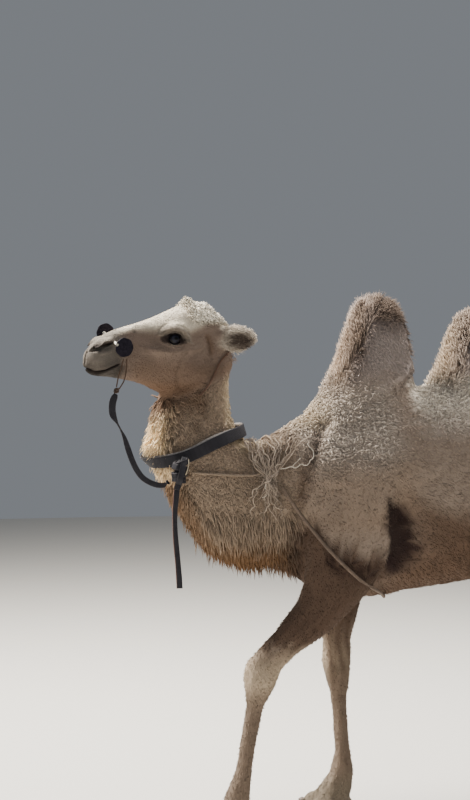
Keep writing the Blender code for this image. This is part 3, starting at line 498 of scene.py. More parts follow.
def lightenBody(piece):
    h = inHead(pointsOf(piece.data))
    face = (h[:, 0] > -0.13) & (h[:, 2] > 1.66)
    group = piece.vertex_groups.new(name="body")
    group.add(np.nonzero(~face)[0].tolist(), 1.0, "REPLACE")
    total = len(trianglesOf(piece.data))
    onBody = 2 * int((~face).sum())
    slim = piece.modifiers.new("slim", "DECIMATE")
    slim.vertex_group = "body"
    slim.ratio = (total - onBody + skinSettings["bodyTriangles"]) / total
    settled(piece)
    piece.vertex_groups.clear()


lightenBody(skin)
print("skin lightened:", len(trianglesOf(skin.data)))


# features of the head, in its own frame
faceSettings = {
    "mouth": [(0.556, 1.790), (0.528, 1.778), (0.490, 1.785), (0.442, 1.808)],
    "nostril": [(0.552, 1.856), (0.530, 1.869), (0.502, 1.881), (0.474, 1.887)],
    "eyeAxis": (0.10, 0.985, 0.06),
    "eyeRadius": 0.0248,
    "eyeHalfWidth": 0.0234,
    "upperLid": 0.0130,
    "lowerLid": 0.0112,
    "lidTilt": math.radians(-12),
    "earRoot": [(0.098, 1.918), (0.080, 1.890), (0.074, 1.862)],
}


def subdivideWhere(piece, chosen):
    shape = bmesh.new()
    shape.from_mesh(piece.data)
    shape.verts.ensure_lookup_table()
    edges = [e for e in shape.edges if chosen[e.verts[0].index] and chosen[e.verts[1].index]]
    bmesh.ops.subdivide_edges(shape, edges=edges, cuts=1, smooth=0.6, use_grid_fill=True)
    bmesh.ops.triangulate(shape, faces=[f for f in shape.faces if len(f.verts) > 3])
    shape.to_mesh(piece.data)
    shape.free()


def refineFace(piece):
    eyes = [Vector((eyePlace[0], side * eyePlace[1], eyePlace[2])) for side in (-1, 1)]
    h = inHead(pointsOf(piece.data))
    muzzle = (h[:, 0] > 0.42) & (h[:, 2] > 1.73)
    ear = (h[:, 0] < 0.05) & (h[:, 0] > -0.12) & (np.abs(h[:, 1]) > 0.07) & (h[:, 2] > 1.85)
    nearEye = np.minimum(*[np.linalg.norm(h - np.array(e), axis=1) for e in eyes]) < 0.062
    subdivideWhere(piece, muzzle | ear | nearEye)
    for reach in (0.046, 0.034):
        h = inHead(pointsOf(piece.data))
        nearEye = np.minimum(*[np.linalg.norm(h - np.array(e), axis=1) for e in eyes]) < reach
        slit = (distanceTo(h[:, [0, 2]], faceSettings["nostril"]) < 0.012) & (np.abs(h[:, 1]) > 0.015)
        lips = (distanceTo(h[:, [0, 2]], faceSettings["mouth"]) < 0.008) & (h[:, 0] > 0.43)
        subdivideWhere(piece, nearEye | ((slit | lips) if reach > 0.04 else nearEye))


refineFace(skin)
print("face refined:", len(trianglesOf(skin.data)))

points = pointsOf(skin.data)
edges = edgesOf(skin.data)
region = regionsOf(points, edges, 10)


# outlines of the humps: height, front edge, rear edge
humpEdges = {
    "front": [(1.69, -0.250, 0.160), (1.762, -0.212, 0.145), (1.845, -0.176, 0.141), (1.925, -0.150, 0.130),
              (1.995, -0.128, 0.116), (2.050, -0.108, 0.100), (2.102, -0.02, 0.02)],
    "rear": [(1.715, 0.205, 0.76), (1.775, 0.238, 0.680), (1.845, 0.266, 0.632), (1.925, 0.294, 0.598),
             (1.985, 0.320, 0.574), (2.026, 0.350, 0.546), (2.060, 0.43, 0.47)],
}


def alongHump(q, which):
    heights, front, rear = np.array(humpEdges[which]).T
    low, high = np.interp(q[:, 2], heights, front), np.interp(q[:, 2], heights, rear)
    return (q[:, 0] - low) / (high - low)


def masksOf(points, normals, region):
    q = points - offset
    h = inHead(points)
    x, y, z = q.T
    nx, ny, nz = normals.T
    neck = region["neckUpper"] + region["neckLower"]
    legs = region["foreLeft"] + region["foreRight"] + region["hindLeft"] + region["hindRight"]
    forward = np.clip(-nx * 0.9 - nz * 0.25, 0, 1)
    found = {"legs": legs, "neck": neck}
    # the throat's mane, from under the jaw to the chest, and the fringe below the neck
    frontNeck = ramp(forward, 0.28, 0.68)
    found["throat"] = neck * frontNeck * ramp(z, 1.36, 1.44) * ramp(z, 1.71, 1.66)
    overCollar = (x + 0.757) * -0.282 + (z - 1.500) * 0.959
    found["throat"] *= 1 - 0.92 * bell(overCollar, 0.012, 0.034)
    found["chest"] = neck * ramp(np.maximum(forward, -nz), 0.30, 0.70) * ramp(z, 1.44, 1.36)
    under = region["neckLower"] + region["trunk"] * ramp(x, -0.30, -0.38)
    found["fringe"] = np.clip(under, 0, 1) * ramp(z, 1.30, 1.16) * ramp(x, -0.36, -0.44)
    found["fringe"] *= ramp(-nz, -0.35, 0.1)
    found["napeTopLight"] = neck * ramp(nx * 0.8 + nz * 0.6, 0.25, 0.75) * ramp(z, 1.40, 1.50)
    # the humps' crests: along the front, over the top, and a thin line down the rear
    f, g = alongHump(q, "front"), alongHump(q, "rear")
    front = region["humpFront"]
    edgeShare = 0.10 + 0.16 * ramp(z, 1.80, 2.00)
    rearLine = ramp(f, 0.91, 0.97) * ramp(z, 1.84, 1.90)
    crest = ramp(f, edgeShare + 0.08, edgeShare - 0.04) + ramp(z, 1.975, 2.035) + rearLine
    found["crestFront"] = front * np.clip(crest, 0, 1)
    rear = region["humpRear"]
    rearLine = ramp(g, 0.88, 0.96) * ramp(z, 1.82, 1.88)
    crest = ramp(g, edgeShare + 0.16, edgeShare) + ramp(z, 1.93, 1.99) + rearLine
    found["crestRear"] = rear * np.clip(crest, 0, 1)
    # woolly curls over the shoulder, the back and the foot of the front hump
    patch = 0.5 + 0.5 * np.sin(9.1 * x + 5.3 * z + 1.7 * y) * np.sin(13.7 * x - 8.1 * z + 2.0)
    shoulder = 0.2 * ramp(z, 1.18, 1.30) + 0.8 * ramp(z, 1.34, 1.48)
    shoulder *= ramp(x, -0.45, -0.34) * ramp(x, 0.06, -0.10) * ramp(z, 1.80, 1.66)
    back = ramp(x, 0.10, 0.16) * ramp(z, 1.50, 1.60) * (1 - rear) * ramp(x, 1.05, 0.75)
    rump = ramp(x, 0.62, 0.78) * ramp(z, 1.30, 1.42) * 0.8
    wool = np.clip(shoulder + back + rump, 0, 1) * (region["trunk"] + 0.9 * legs * ramp(z, 1.15, 1.25))
    humpFoot = 0.9 * front * ramp(z, 1.80, 1.74) * ramp(f, 0.35, 0.05)
    found["wool"] = np.clip(wool * (0.55 + 0.6 * patch) + humpFoot, 0, 1)
    found["crown"] = region["head"] * ramp(h[:, 0], 0.19, 0.12) * ramp(h[:, 2], 1.96, 2.00)
    found["face"] = region["head"]
    found["ears"] = region["ears"]
    found["tailBrush"] = region["tail"] * ramp(z, 1.06, 1.00)
    return found


normals = normalsOf(skin.data)
for _ in range(3):
    normals = unit(averaged(normals, edges, 0.5))
masks = masksOf(points, normals, region)
coatDepth = {
    "base": 0.007,
    "throat": 0.040,
    "chest": 0.030,
    "fringe": 0.022,
    "napeTopLight": 0.012,
    "crestFront": 0.028,
    "crestRear": 0.026,
    "wool": 0.005,
    "crown": 0.010,
    "tailBrush": 0.004,
}


def sinkSkin(points):
    depth = np.full(len(points), coatDepth["base"])
    shank = masks["legs"] * ramp(points[:, 2], 0.9, 0.6)
    depth *= 1 - np.clip(masks["face"] * 0.75 + masks["ears"] * 0.8 + shank * 0.55, 0, 1)
    for name in coatDepth:
        if name != "base":
            depth += coatDepth[name] * masks[name]
    depth *= ramp(points[:, 2], 0.0, 0.05)
    points = points - normals * averaged(depth, edges, 0.6, 6)[:, None]
    # the fringe hangs well below the flesh of the neck
    q = points - offset
    flesh = np.interp(q[:, 0], [-0.86, -0.74, -0.60, -0.45, -0.38], [1.26, 1.140, 1.085, 1.075, 1.02])
    short = np.clip(flesh - q[:, 2], 0, 0.09) * np.clip(region["neckLower"] + masks["fringe"], 0, 1)
    points[:, 2] += short * 0.85
    return points


points = sinkSkin(points)


def eyeFrame(side):
    # centre, outward axis, forward and upward along the lids
    centre = np.array((eyePlace[0], side * eyePlace[1], eyePlace[2]))
    axis = unit(np.array(faceSettings["eyeAxis"]) * (1, side, 1))
    level = unit(np.array((1.0, 0.0, 0.0)) - axis * axis[0])
    rise = np.cross(level, axis)
    rise = rise if rise[2] > 0 else -rise
    tilt = faceSettings["lidTilt"]
    ahead = level * math.cos(tilt) - rise * math.sin(tilt)
    above = level * math.sin(tilt) + rise * math.cos(tilt)
    return centre, axis, ahead, above


def lidOf(h, side):
    # distance out from the lids' edge, height over the eye's middle, facing, and the way from the centre
    c = faceSettings
    centre, axis, ahead, above = eyeFrame(side)
    r = np.linalg.norm(h - centre, axis=1)
    direction = (h - centre) / np.maximum(r, 1e-6)[:, None]
    reach = np.maximum(r, c["eyeRadius"])
    a, b = direction @ ahead * reach, direction @ above * reach
    height = np.where(b > 0, c["upperLid"], c["lowerLid"])
    d = (np.sqrt((np.abs(a) / c["eyeHalfWidth"]) ** 2.3 + (np.abs(b) / height) ** 1.9) - 1) * height
    return d, b, direction @ axis, direction, r, centre


def shapeEyes(h):
    c = faceSettings
    for side in (-1, 1):
        d, b, out, direction, r, centre = lidOf(h, side)
        lid = c["eyeRadius"] + 0.0008 + 0.0030 * ramp(d, -0.0005, 0.003)
        lid -= 0.0016 * bell(d, 0.0085, 0.0016) * (b > 0)
        lid -= 0.0055 * ramp(d, 0.0, -0.002)
        near = ramp(out, 0.05, 0.35) * (r < 0.06)
        hold = ramp(d, 0.013, 0.006) * near
        target = r * (1 - hold) + lid * hold
        target = np.where((r < lid) & (d < 0.016) & (near > 0.5) & (d > 0), np.maximum(target, lid), target)
        h = np.where((near > 0)[:, None], centre + direction * target[:, None], h)
        # a thick brow fold with a crease under it, and two shallow folds below
        upper = 0.008 * bell(d, 0.021, 0.0062) - 0.0036 * bell(d, 0.0105, 0.0022)
        upper -= 0.004 * bell(d, 0.0335, 0.0034)
        lower = 0.0014 * bell(d, 0.012, 0.0022) - 0.0018 * bell(d, 0.016, 0.0018)
        lower += 0.0012 * bell(d, 0.0205, 0.002)
        fold = np.where(b > 0, upper, lower) * (r < 0.064) * ramp(h[:, 1] * side, 0.030, 0.048)
        h = h + np.array(eyeFrame(side)[1]) * fold[:, None]
    return h


def nostrilShape(h):
    # height over the slit, and how far inside the opening under it
    u, v, w = h.T
    above = w - np.interp(u, [0.474, 0.502, 0.530, 0.552], [1.887, 1.881, 1.869, 1.856])
    gape = np.interp(u, [0.466, 0.478, 0.505, 0.535, 0.552, 0.558],
                     [0.001, 0.006, 0.0105, 0.011, 0.006, 0.001])
    drop = np.interp(u, [0.452, 0.468, 0.500, 0.530, 0.550], [0.004, 0.024, 0.027, 0.019, 0.006])
    along = ramp(u, 0.458, 0.474) * ramp(u, 0.560, 0.550) * ramp(np.abs(v), 0.012, 0.020)
    inside = ramp(above, 0.0016, -0.0012) * ramp(-above, gape * 1.5, gape * 0.9) * along
    hollow = ramp(above, 0.001, -0.002) * ramp(-above, drop, drop * 0.65) * along
    return above, inside, hollow, drop


def shapeFace(points):
    h = inHead(points)
    outward = inHead(points + normals) - h
    u, v, w = h.T
    flat, side, move = h[:, [0, 2]], np.abs(v), np.zeros(len(h))
    # nostril under a thick raised wing, with a low rim below it
    above, inside, hollow, drop = nostrilShape(h)
    onSide = ramp(side, 0.012, 0.024) * ramp(u, 0.464, 0.490) * ramp(u, 0.546, 0.516)
    move -= 0.011 * inside + 0.005 * hollow
    move += 0.0085 * bell(above, 0.0095, 0.0068) * onSide
    move -= 0.003 * bell(above, 0.0235, 0.0035) * onSide
    move += 0.004 * bell(-above, drop + 0.006, 0.006) * onSide
    # a rounded swell of the upper lip
    move += 0.005 * bell(np.hypot(u - 0.532, w - 1.826), 0, 0.026) * (side > 0.006)
    # mouth line, with the upper lip hanging a little over the lower
    d = distanceTo(flat, faceSettings["mouth"])
    upper = w - np.interp(u, [0.442, 0.490, 0.528, 0.556], [1.808, 1.785, 1.778, 1.790])
    lips = ramp(u, 0.432, 0.45)
    move -= 0.0075 * bell(d, 0, 0.0026) * lips
    move += 0.0026 * bell(upper, 0.012, 0.008) * lips * (d < 0.03)
    move += 0.002 * bell(upper, -0.009, 0.006) * lips * (d < 0.03)
    # the split of the upper lip
    split = bell(v, 0, 0.0032) * ramp(u, 0.53, 0.545)
    move -= 0.006 * split * ramp(w, 1.79, 1.80) * ramp(w, 1.856, 1.846)
    # a vein before the eye, the edge of the jaw muscle, the cheek bone and the crease before the ear
    cheek = side > 0.03
    move += strokesOn(flat, [
        (0.0028, 0.005, cheek, [(0.270, 1.862), (0.320, 1.868), (0.372, 1.884), (0.410, 1.902)]),
        (-0.006, 0.010, cheek, [(0.186, 1.722), (0.206, 1.770), (0.198, 1.820), (0.176, 1.856)]),
        (0.0055, 0.011, cheek,
         [(0.130, 1.880), (0.180, 1.866), (0.230, 1.862), (0.290, 1.860), (0.350, 1.866)]),
        (-0.006, 0.011, side > 0.04, faceSettings["earRoot"]),
    ])
    # chewing muscle, and the hollows behind and before the eye and over the gum
    for ahead, high, size, deep in (
        (0.130, 1.790, 0.045, 0.007), (0.150, 1.930, 0.024, -0.006), (0.305, 1.915, 0.024, -0.004),
        (0.290, 1.820, 0.030, -0.005), (0.385, 1.835, 0.030, 0.003),
    ):
        move += deep * bell(np.hypot(u - ahead, w - high), 0, size) * cheek
    # woolly clumps on the crown
    clumps = np.sin(u * 150 + 2 * np.sin(w * 110)) * np.sin(v * 140 + w * 120 + 1.5 * np.sin(u * 90))
    move += 0.003 * clumps * masks["crown"]
    h = h + outward * move[:, None]
    # the top of the nose slopes down to the lip, lower at the sides
    u, v, w = h.T  # these follow h from here on
    noseTop = [1.95, 1.916, 1.905, 1.894, 1.874, 1.851, 1.825]
    limit = np.interp(u, [0.47, 0.49, 0.505, 0.52, 0.54, 0.555, 0.57], noseTop)
    limit = limit - 0.018 * ramp(np.abs(v), 0.012, 0.042) * ramp(u, 0.485, 0.52)
    h[:, 2] -= 0.88 * np.maximum((w - limit) * (u > 0.47), 0)
    even = averaged(h, edges, 0.5, 5)
    h += (even - h) * (ramp(u, 0.47, 0.49) * region["head"] * ramp(above, -0.002, 0.004))[:, None]
    ripples = 0.0011 * np.sin(above * 900 + 14 * np.sin(u * 60)) * ramp(above, 0.005, 0.012)
    h += outward * (ripples * ramp(u, 0.47, 0.49) * region["head"])[:, None]
    # the ear's hollow is shallow and soft
    hollow = np.hypot((u + 0.026) / 0.045, (w - 1.919) / 0.027)
    h[:, 1] += np.sign(v) * 0.009 * ramp(hollow, 1.1, 0.3) * (side > 0.098) * masks["ears"]
    return moved(shapeEyes(h), headMatrix)


points = shapeFace(points)


# lines of the body, seen from the side: the fold under the front hump and the folds over the elbow
humpFold = [(-0.115, 1.668), (-0.060, 1.674), (-0.026, 1.686), (0.036, 1.717), (0.078, 1.750), (0.105, 1.785)]
elbowFolds = [[(-0.300, 1.108 - drop), (-0.239, 1.066 - drop), (-0.165, 1.044 - drop), (-0.09, 1.05 - drop)]
              for drop in (0.0, 0.026, 0.05)]


def shapeBody(points):
    q = points - offset
    x, y, z = q.T
    flat = q[:, [0, 2]]
    left = (y < 0)
    body = region["trunk"] + region["humpFront"]
    flank = ramp(np.abs(y), 0.08, 0.14)
    shoulder = left * np.clip(region["foreLeft"] + region["trunk"], 0, 1)
    forearm = left * region["foreLeft"]
    behindHump = ramp(x, -0.12, 0.02) * body
    strokes = [
        # skin fold under the front hump, deepest towards the rear
        (-0.018, 0.008, behindHump, humpFold),
        # hollow between the neck and the shoulder, and the edge of the shoulder blade
        (-0.026, 0.024, np.clip(body + region["neckLower"], 0, 1),
         [(-0.262, 1.575), (-0.300, 1.515), (-0.320, 1.480), (-0.352, 1.400), (-0.385, 1.25), (-0.40, 1.12)]),
        (0.012, 0.035, flank, [(-0.235, 1.56), (-0.285, 1.42), (-0.315, 1.28), (-0.325, 1.16)]),
        # muscles of the upper foreleg
        (0.012, 0.026, shoulder, [(-0.075, 1.27), (-0.060, 1.15), (-0.085, 1.04)]),
        (-0.018, 0.024, shoulder, [(-0.005, 1.255), (0.015, 1.160), (0.025, 1.060)]),
        (0.008, 0.045, flank, [(-0.175, 1.36), (-0.160, 1.24), (-0.185, 1.12)]),
        (-0.007, 0.022, flank, [(-0.245, 1.32), (-0.235, 1.20), (-0.26, 1.10)]),
        # grooves between the muscles of the forearm
        (-0.0055, 0.009, forearm, [(-0.30, 0.93), (-0.40, 0.83), (-0.50, 0.73), (-0.56, 0.67)]),
        (-0.0055, 0.009, forearm, [(-0.25, 0.90), (-0.36, 0.79), (-0.47, 0.69)]),
        # vein over the ribs
        (0.0035, 0.006, region["trunk"] * (np.abs(y) > 0.1),
         [(0.012, 1.331), (0.062, 1.304), (0.120, 1.288), (0.205, 1.268), (0.33, 1.235), (0.46, 1.19)]),
    ]
    strokes += [(-0.0085, 0.008, left * (region["foreLeft"] + region["trunk"]), fold) for fold in elbowFolds]
    move = strokesOn(flat, strokes)
    above = z - np.interp(x, *np.transpose(humpFold))
    move += 0.013 * bell(above, 0.022, 0.016) * behindHump * (distanceTo(flat, humpFold) < 0.05)
    # shallow ribs
    ribs = np.sin((x - 0.22 * (z - 1.3)) * 62) * ramp(x, 0.05, 0.15) * ramp(x, 0.72, 0.60)
    move += 0.0014 * ribs * region["trunk"] * ramp(np.abs(y), 0.14, 0.2)
    # tendons down the cannon bones
    shank = masks["legs"] * ramp(z, 0.56, 0.50) * ramp(z, 0.14, 0.20)
    move -= 0.0035 * shank * bell(np.abs(normals[:, 1]), 0.9, 0.25) * bell(normals[:, 0], 0.35, 0.2)
    # uneven muscle and skin everywhere
    rough = np.sin(21 * x + 3 * np.sin(9 * z)) * np.sin(18 * z + 2 * np.sin(11 * x + 5 * y))
    move += 0.0018 * rough * (1 - region["head"]) * (1 - region["ears"]) * ramp(z, 0.1, 0.2)
    return points + normals * move[:, None]


points = shapeBody(points)
points[:, 2] = np.maximum(points[:, 2], 0.0004)
setPoints(skin.data, points)
print("skin shaped")


palette = {
    "body": linear(150, 134, 120),
    "bellyBrownAndShade": linear(98, 78, 64),
    "wool": linear(206, 193, 180),
    "shoulder": linear(150, 128, 108),
    "neck": linear(152, 134, 116),
    "napeTopLight": linear(196, 178, 150),
    "throat": linear(246, 220, 176),
    "underJawBrownAndShade": linear(110, 87, 70),
    "chest": linear(142, 116, 92),
    "fringe": linear(112, 84, 58),
    "cheek": linear(122, 106, 95),
    "faceTopLight": linear(212, 201, 182),
    "muzzle": linear(116, 109, 101),
    "lips": linear(40, 33, 31),
    "eyeRim": linear(40, 32, 31),
    "earHollowShade": linear(84, 70, 62),
    "humpSide": linear(162, 150, 144),
    "crest": linear(100, 87, 80),
    "crestEdge": linear(182, 156, 128),
    "rearCrestEdge": linear(180, 160, 134),
    "forearm": linear(88, 71, 60),
    "knee": linear(176, 158, 136),
    "cannon": linear(122, 106, 92),
    "foot": linear(118, 107, 93),
    "darkPatchAndCreaseShade": linear(36, 23, 23),
    "brush": linear(104, 84, 70),
    "crown": linear(240, 232, 216),
    "back": linear(236, 227, 210),
    "ear": linear(198, 187, 172),
    "chin": linear(25, 19, 16),
    "nostril": linear(86, 81, 76),
    "browFold": linear(136, 126, 114),
}


def markingsOf(points, normals):
    q = points - offset
    h = inHead(points)
    x, y, z = q.T
    u, v, w = h.T
    side = np.abs(v)
    flat, face = q[:, [0, 2]], h[:, [0, 2]]
    colour = np.tile(np.array(palette["body"]), (len(points), 1))

    def blend(name, share):
        share = np.clip(share, 0, 1)[:, None]
        colour[:] = colour * (1 - share) + np.array(palette[name]) * share

    nx, ny, nz = normals.T
    trunk, left = region["trunk"], y < 0
    # painted shade: darker where the trunk faces down and towards its low part, over the belly's own brown
    blend("bellyBrownAndShade", trunk * (0.85 * ramp(-nz, 0.15, 0.75) + 0.45 * ramp(z, 1.25, 1.05)))
    blend("wool", 0.75 * masks["wool"])
    shoulder = ramp(z, 1.50, 1.40) * ramp(z, 1.12, 1.22) * ramp(x, 0.10, 0.0)
    blend("shoulder", (trunk + masks["legs"]) * shoulder * 0.6)
    # the top of the back near white: partly its own pale wool, partly painted light from above
    blend("back", trunk * ramp(x, 0.06, 0.14) * ramp(x, 0.95, 0.70) * ramp(z, 1.56, 1.66) * 0.9)
    blend("neck", masks["neck"])
    # painted light: paler where the neck faces up and back
    blend("napeTopLight", 0.9 * masks["napeTopLight"])
    # painted shade under the jaw on the neck, over its own orange-brown
    blend("underJawBrownAndShade", masks["neck"] * ramp(z, 1.58, 1.68) * ramp(nx, -0.95, -0.6) * ramp(nx, 0.2, -0.1) * 0.8)
    # the throat's mane: its own pale hair, made paler still as painted light on its forward face
    blend("throat", masks["throat"])
    blend("chest", masks["chest"])
    blend("fringe", masks["fringe"] * ramp(z, 1.20, 1.13))
    spots = distanceTo(flat, [(-0.739, 1.679), (-0.745, 1.626), (-0.791, 1.547)])
    blend("forearm", masks["neck"] * bell(spots, 0, 0.012) * (0.5 + 0.5 * np.sin(160 * z)) * 0.8)
    # head
    head = masks["face"]
    blend("cheek", head)
    # painted light: the top of the head, and where the face turns upwards, paler
    top = ramp(w - (1.93 + 0.05 * ramp(u, 0.19, 0.05)), -0.012, 0.03) * ramp(u, 0.48, 0.40)
    blend("faceTopLight", head * np.maximum(top, ramp(normals[:, 2], 0.35, 0.8) * ramp(w, 1.86, 1.90)))
    blend("muzzle", head * ramp(u, 0.40, 0.46) * 0.9)
    # the jaw's underside and the lower half of the cheek darker: its own brown, with painted shade
    blend("underJawBrownAndShade", head * ramp(w, 1.765, 1.715) * ramp(u, 0.42, 0.30))
    blend("underJawBrownAndShade", head * 0.55 * ramp(w, 1.86, 1.78) * ramp(u, 0.42, 0.34))
    # painted shade: the lower lip and chin nearly black under the mouth line, and darker below
    chin = w - np.interp(u, [0.430, 0.490, 0.528, 0.556], [1.806, 1.783, 1.776, 1.788])
    blend("chin", head * ramp(chin, 0.002, -0.004) * ramp(u, 0.39, 0.45) * 0.95)
    blend("chin", head * 0.42 * ramp(chin, 0.050, 0.008) * ramp(u, 0.42, 0.46))
    # painted shade: the rear of the muzzle below the nostril darker
    blend("nostril", head * 0.6 * ramp(u, 0.515, 0.485) * ramp(u, 0.42, 0.45) * ramp(w, 1.875, 1.86))
    blend("crown", 0.95 * masks["crown"])
    # painted shade: a dark line in the crease of the mouth
    lip = distanceTo(face, faceSettings["mouth"])
    blend("lips", head * bell(lip, 0, 0.0060) * (u > 0.43))
    above, inside, hollow = nostrilShape(h)[:3]
    # painted shade in the nostril: grey in its hollow, dark inside the slit, and a dark band under the wing's
    # edge
    blend("nostril", head * hollow * 0.9)
    blend("lips", head * np.clip(1.4 * inside, 0, 1) * ramp(-above, 0.012, 0.004))
    wing = bell(above, 0.0035, 0.0066) * ramp(u, 0.455, 0.47) * ramp(u, 0.562, 0.55)
    blend("lips", head * 0.95 * wing * (side > 0.014))
    for turn in (-1, 1):
        d, b = lidOf(h, turn)[:2]
        near = head * ramp(v * turn, 0.040, 0.055)
        corner = np.hypot((u - 0.262) / 0.027, (w - 1.907) / 0.016)
        # the brow fold paler: partly its tan hair, partly painted light on the fold
        blend("browFold", near * ramp(d, 0.037, 0.025) * (b > -0.004) * 0.9)
        # painted shade in the wrinkles over the eye
        wrinkle = 0.5 + 0.5 * np.sin(700 * d + 3 * np.sin(95 * u + 40 * w))
        wrinkle *= ramp(d, 0.036, 0.026) * (b > 0)
        blend("eyeRim", near * 0.42 * wrinkle)
        # dark lids, and painted shade in the crease under the brow fold
        blend("eyeRim", near * np.maximum(ramp(d, 0.0080, 0.0045), 0.6 * bell(d, 0.0110, 0.0028) * (b > 0)))
        behind = np.hypot((u - 0.196) / 0.020, (w - 1.903) / 0.012)
        blend("eyeRim", near * 0.6 * ramp(behind, 1.2, 0.5))
        blend("eyeRim", near * 0.7 * ramp(d, 0.0170, 0.0060) * (b < 0))
        blend("eyeRim", near * 0.85 * ramp(corner, 1.15, 0.7))
    # painted shade in the crease before the ear's root
    root = distanceTo(face, faceSettings["earRoot"])
    blend("bellyBrownAndShade", head * 0.8 * bell(root, 0, 0.013) * (side > 0.04))
    blend("eyeRim", head * bell(np.hypot(u - 0.379, w - 1.930), 0, 0.006) * (v < 0) * 0.8)
    ears = masks["ears"]
    blend("ear", ears)
    # painted shade in the ear's hollow
    hollow = np.hypot((u + 0.028) / 0.064, (w - 1.911) / 0.036)
    hollow += 0.1 * np.sin(260 * w + 60 * u)
    blend("earHollowShade", 0.92 * ears * ramp(hollow, 1.12, 0.45) * ramp(side, 0.09, 0.105))
    # humps
    f, g = alongHump(q, "front"), alongHump(q, "rear")
    front, rear = region["humpFront"], region["humpRear"]
    blend("humpSide", front + rear)
    blend("wool", 0.45 * masks["wool"])
    blend("crest", front * ramp(z, 1.90, 2.01) * ramp(f, 0.22, 0.42) * 0.9)
    blend("crest", front * ramp(f, 0.90, 0.96) * ramp(z, 1.82, 1.88) * 0.8)
    blend("crest", masks["crestRear"] * 0.75)
    blend("crestEdge", front * ramp(f, 0.20, 0.08) * 0.8)
    # painted shade: a dark band behind the front hump's front edge, on the near side only
    blend("crest", front * bell(f, 0.21, 0.07) * ramp(y, 0.01, -0.02) * ramp(z, 1.66, 1.76))
    blend("rearCrestEdge", rear * ramp(g, 0.20, 0.05) * ramp(z, 2.04, 1.98))
    # painted light on the top of the body before the front hump
    blend("napeTopLight", np.clip(trunk * ramp(x, -0.20, -0.30) * ramp(z, 1.52, 1.60), 0, 1) * 0.7)
    # legs: pale knees, dark forearms with a streaky upper edge, and painted shade on the legs' inner sides
    legs = masks["legs"]
    foreLeft, foreRight = region["foreLeft"], region["foreRight"]
    hind = region["hindLeft"] + region["hindRight"]
    streak = 0.020 * np.sin(90 * x + 40 * y) * np.sin(31 * x + 2) + 0.010 * np.sin(170 * x - 60 * y)
    soft = 1 + 2.4 * np.maximum(ramp(x, 0.1, 0.3), ramp(y, 0, 0.05))
    darkTop = np.interp(x, [-0.42, -0.33, -0.25, -0.12, -0.03, 0.3], [1.22, 1.19, 1.12, 1.09, 1.07, 1.02])
    dark = ramp((darkTop - z + streak) / soft, -0.03, 0.04) * (1 - 0.35 * ramp(x, 0.1, 0.3))
    knees = np.interp(x, [0.0, 0.4], [0.73, 0.76]) + streak
    forelimb = np.clip(legs + ramp(x, -0.22, -0.30) * trunk, 0, 1)
    blend("forearm", forelimb * dark * ramp(z - knees, -0.012 * soft, 0.022 * soft))
    blend("cannon", legs * ramp(z - knees, 0.012, -0.012))
    knees = bell(z, 0.632, 0.066) * (foreLeft + 0.75 * foreRight) + bell(z, 0.64, 0.06) * hind * 0.4
    blend("knee", np.clip(knees * 1.2, 0, 1))
    # painted shade on the inner sides of the legs
    inner = legs * ramp(-ny * np.sign(y), 0.1, 0.6) * ramp(z, 0.42, 0.62)
    blend("forearm", 0.8 * inner * (0.75 + 0.25 * np.sin(150 * x + 2 * np.sin(20 * z))))
    # painted shade in the folds over the elbow, on the near side
    folds = np.minimum.reduce([distanceTo(flat, fold) for fold in elbowFolds])
    blend("darkPatchAndCreaseShade", 0.75 * bell(folds, 0, 0.008) * left * np.clip(foreLeft + trunk, 0, 1))
    blend("foot", legs * ramp(z, 0.20, 0.08))
    # belly below the vein, partly its own brown and partly painted shade under the vein, with a line of
    # painted shade along it, and the dark patch behind the elbow: its own dark hair, with painted shade
    # between leg and body, lighter on the far side
    pit = distanceTo(flat, [(-0.038, 1.235), (-0.004, 1.165), (0.016, 1.110), (-0.004, 1.050)])
    ragged = pit + 0.012 * np.sin(46 * x + 3 * np.sin(31 * z)) * np.sin(39 * z + 2.0)
    vein = np.interp(x, [-0.03, 0.043, 0.18, 0.252, 0.46, 0.70], [1.35, 1.312, 1.267, 1.243, 1.18, 1.08]) - z
    below = 0.55 * ramp(vein, -0.002, 0.012) + 0.4 * ramp(vein, 0.0, 0.08)
    blend("bellyBrownAndShade", trunk * below * ramp(x, -0.05, 0.01))
    line = vein + 0.006 * np.sin(75 * x) + 0.003 * np.sin(210 * x + 1)
    blend("darkPatchAndCreaseShade", trunk * 0.55 * bell(line, 0, 0.0055) * ramp(x, -0.10, -0.04) * ramp(x, 0.42, 0.25) * left)
    rib = np.clip(trunk + foreLeft + foreRight, 0, 1) * (np.abs(y) > 0.1)
    dark = rib * ramp(ragged, 0.072, 0.042) * (0.94 - 0.5 * ramp(y, 0, 0.1))
    blend("darkPatchAndCreaseShade", dark * ramp(x, -0.072, -0.055))
    # painted shade in the crease before the shoulder and in the fold under the front hump
    crease = distanceTo(flat, [(-0.300, 1.515), (-0.322, 1.470), (-0.352, 1.400), (-0.385, 1.27)])
    crease = 0.75 * bell(crease, 0, 0.022) * (np.abs(y) > 0.05)
    blend("bellyBrownAndShade", crease * np.clip(trunk + region["neckLower"], 0, 1))
    blend("darkPatchAndCreaseShade", 0.6 * bell(distanceTo(flat, humpFold[1:]), 0, 0.006) * (trunk + front))
    blend("brush", masks["tailBrush"])
    speckle = 1 + 0.05 * np.sin(37 * x + 5 * np.sin(23 * z)) * np.sin(41 * z + 4 * np.sin(19 * x + 13 * y))
    return colour * speckle[:, None]


def storeColours(mesh, colours):
    layer = mesh.color_attributes.new("coatColour", "FLOAT_COLOR", "POINT")
    data = np.ones((len(mesh.vertices), 4), np.float32)
    data[:, :3] = colours
    layer.data.foreach_set("color", data.ravel())


normals = normalsOf(skin.data)
markings = markingsOf(points, normals)
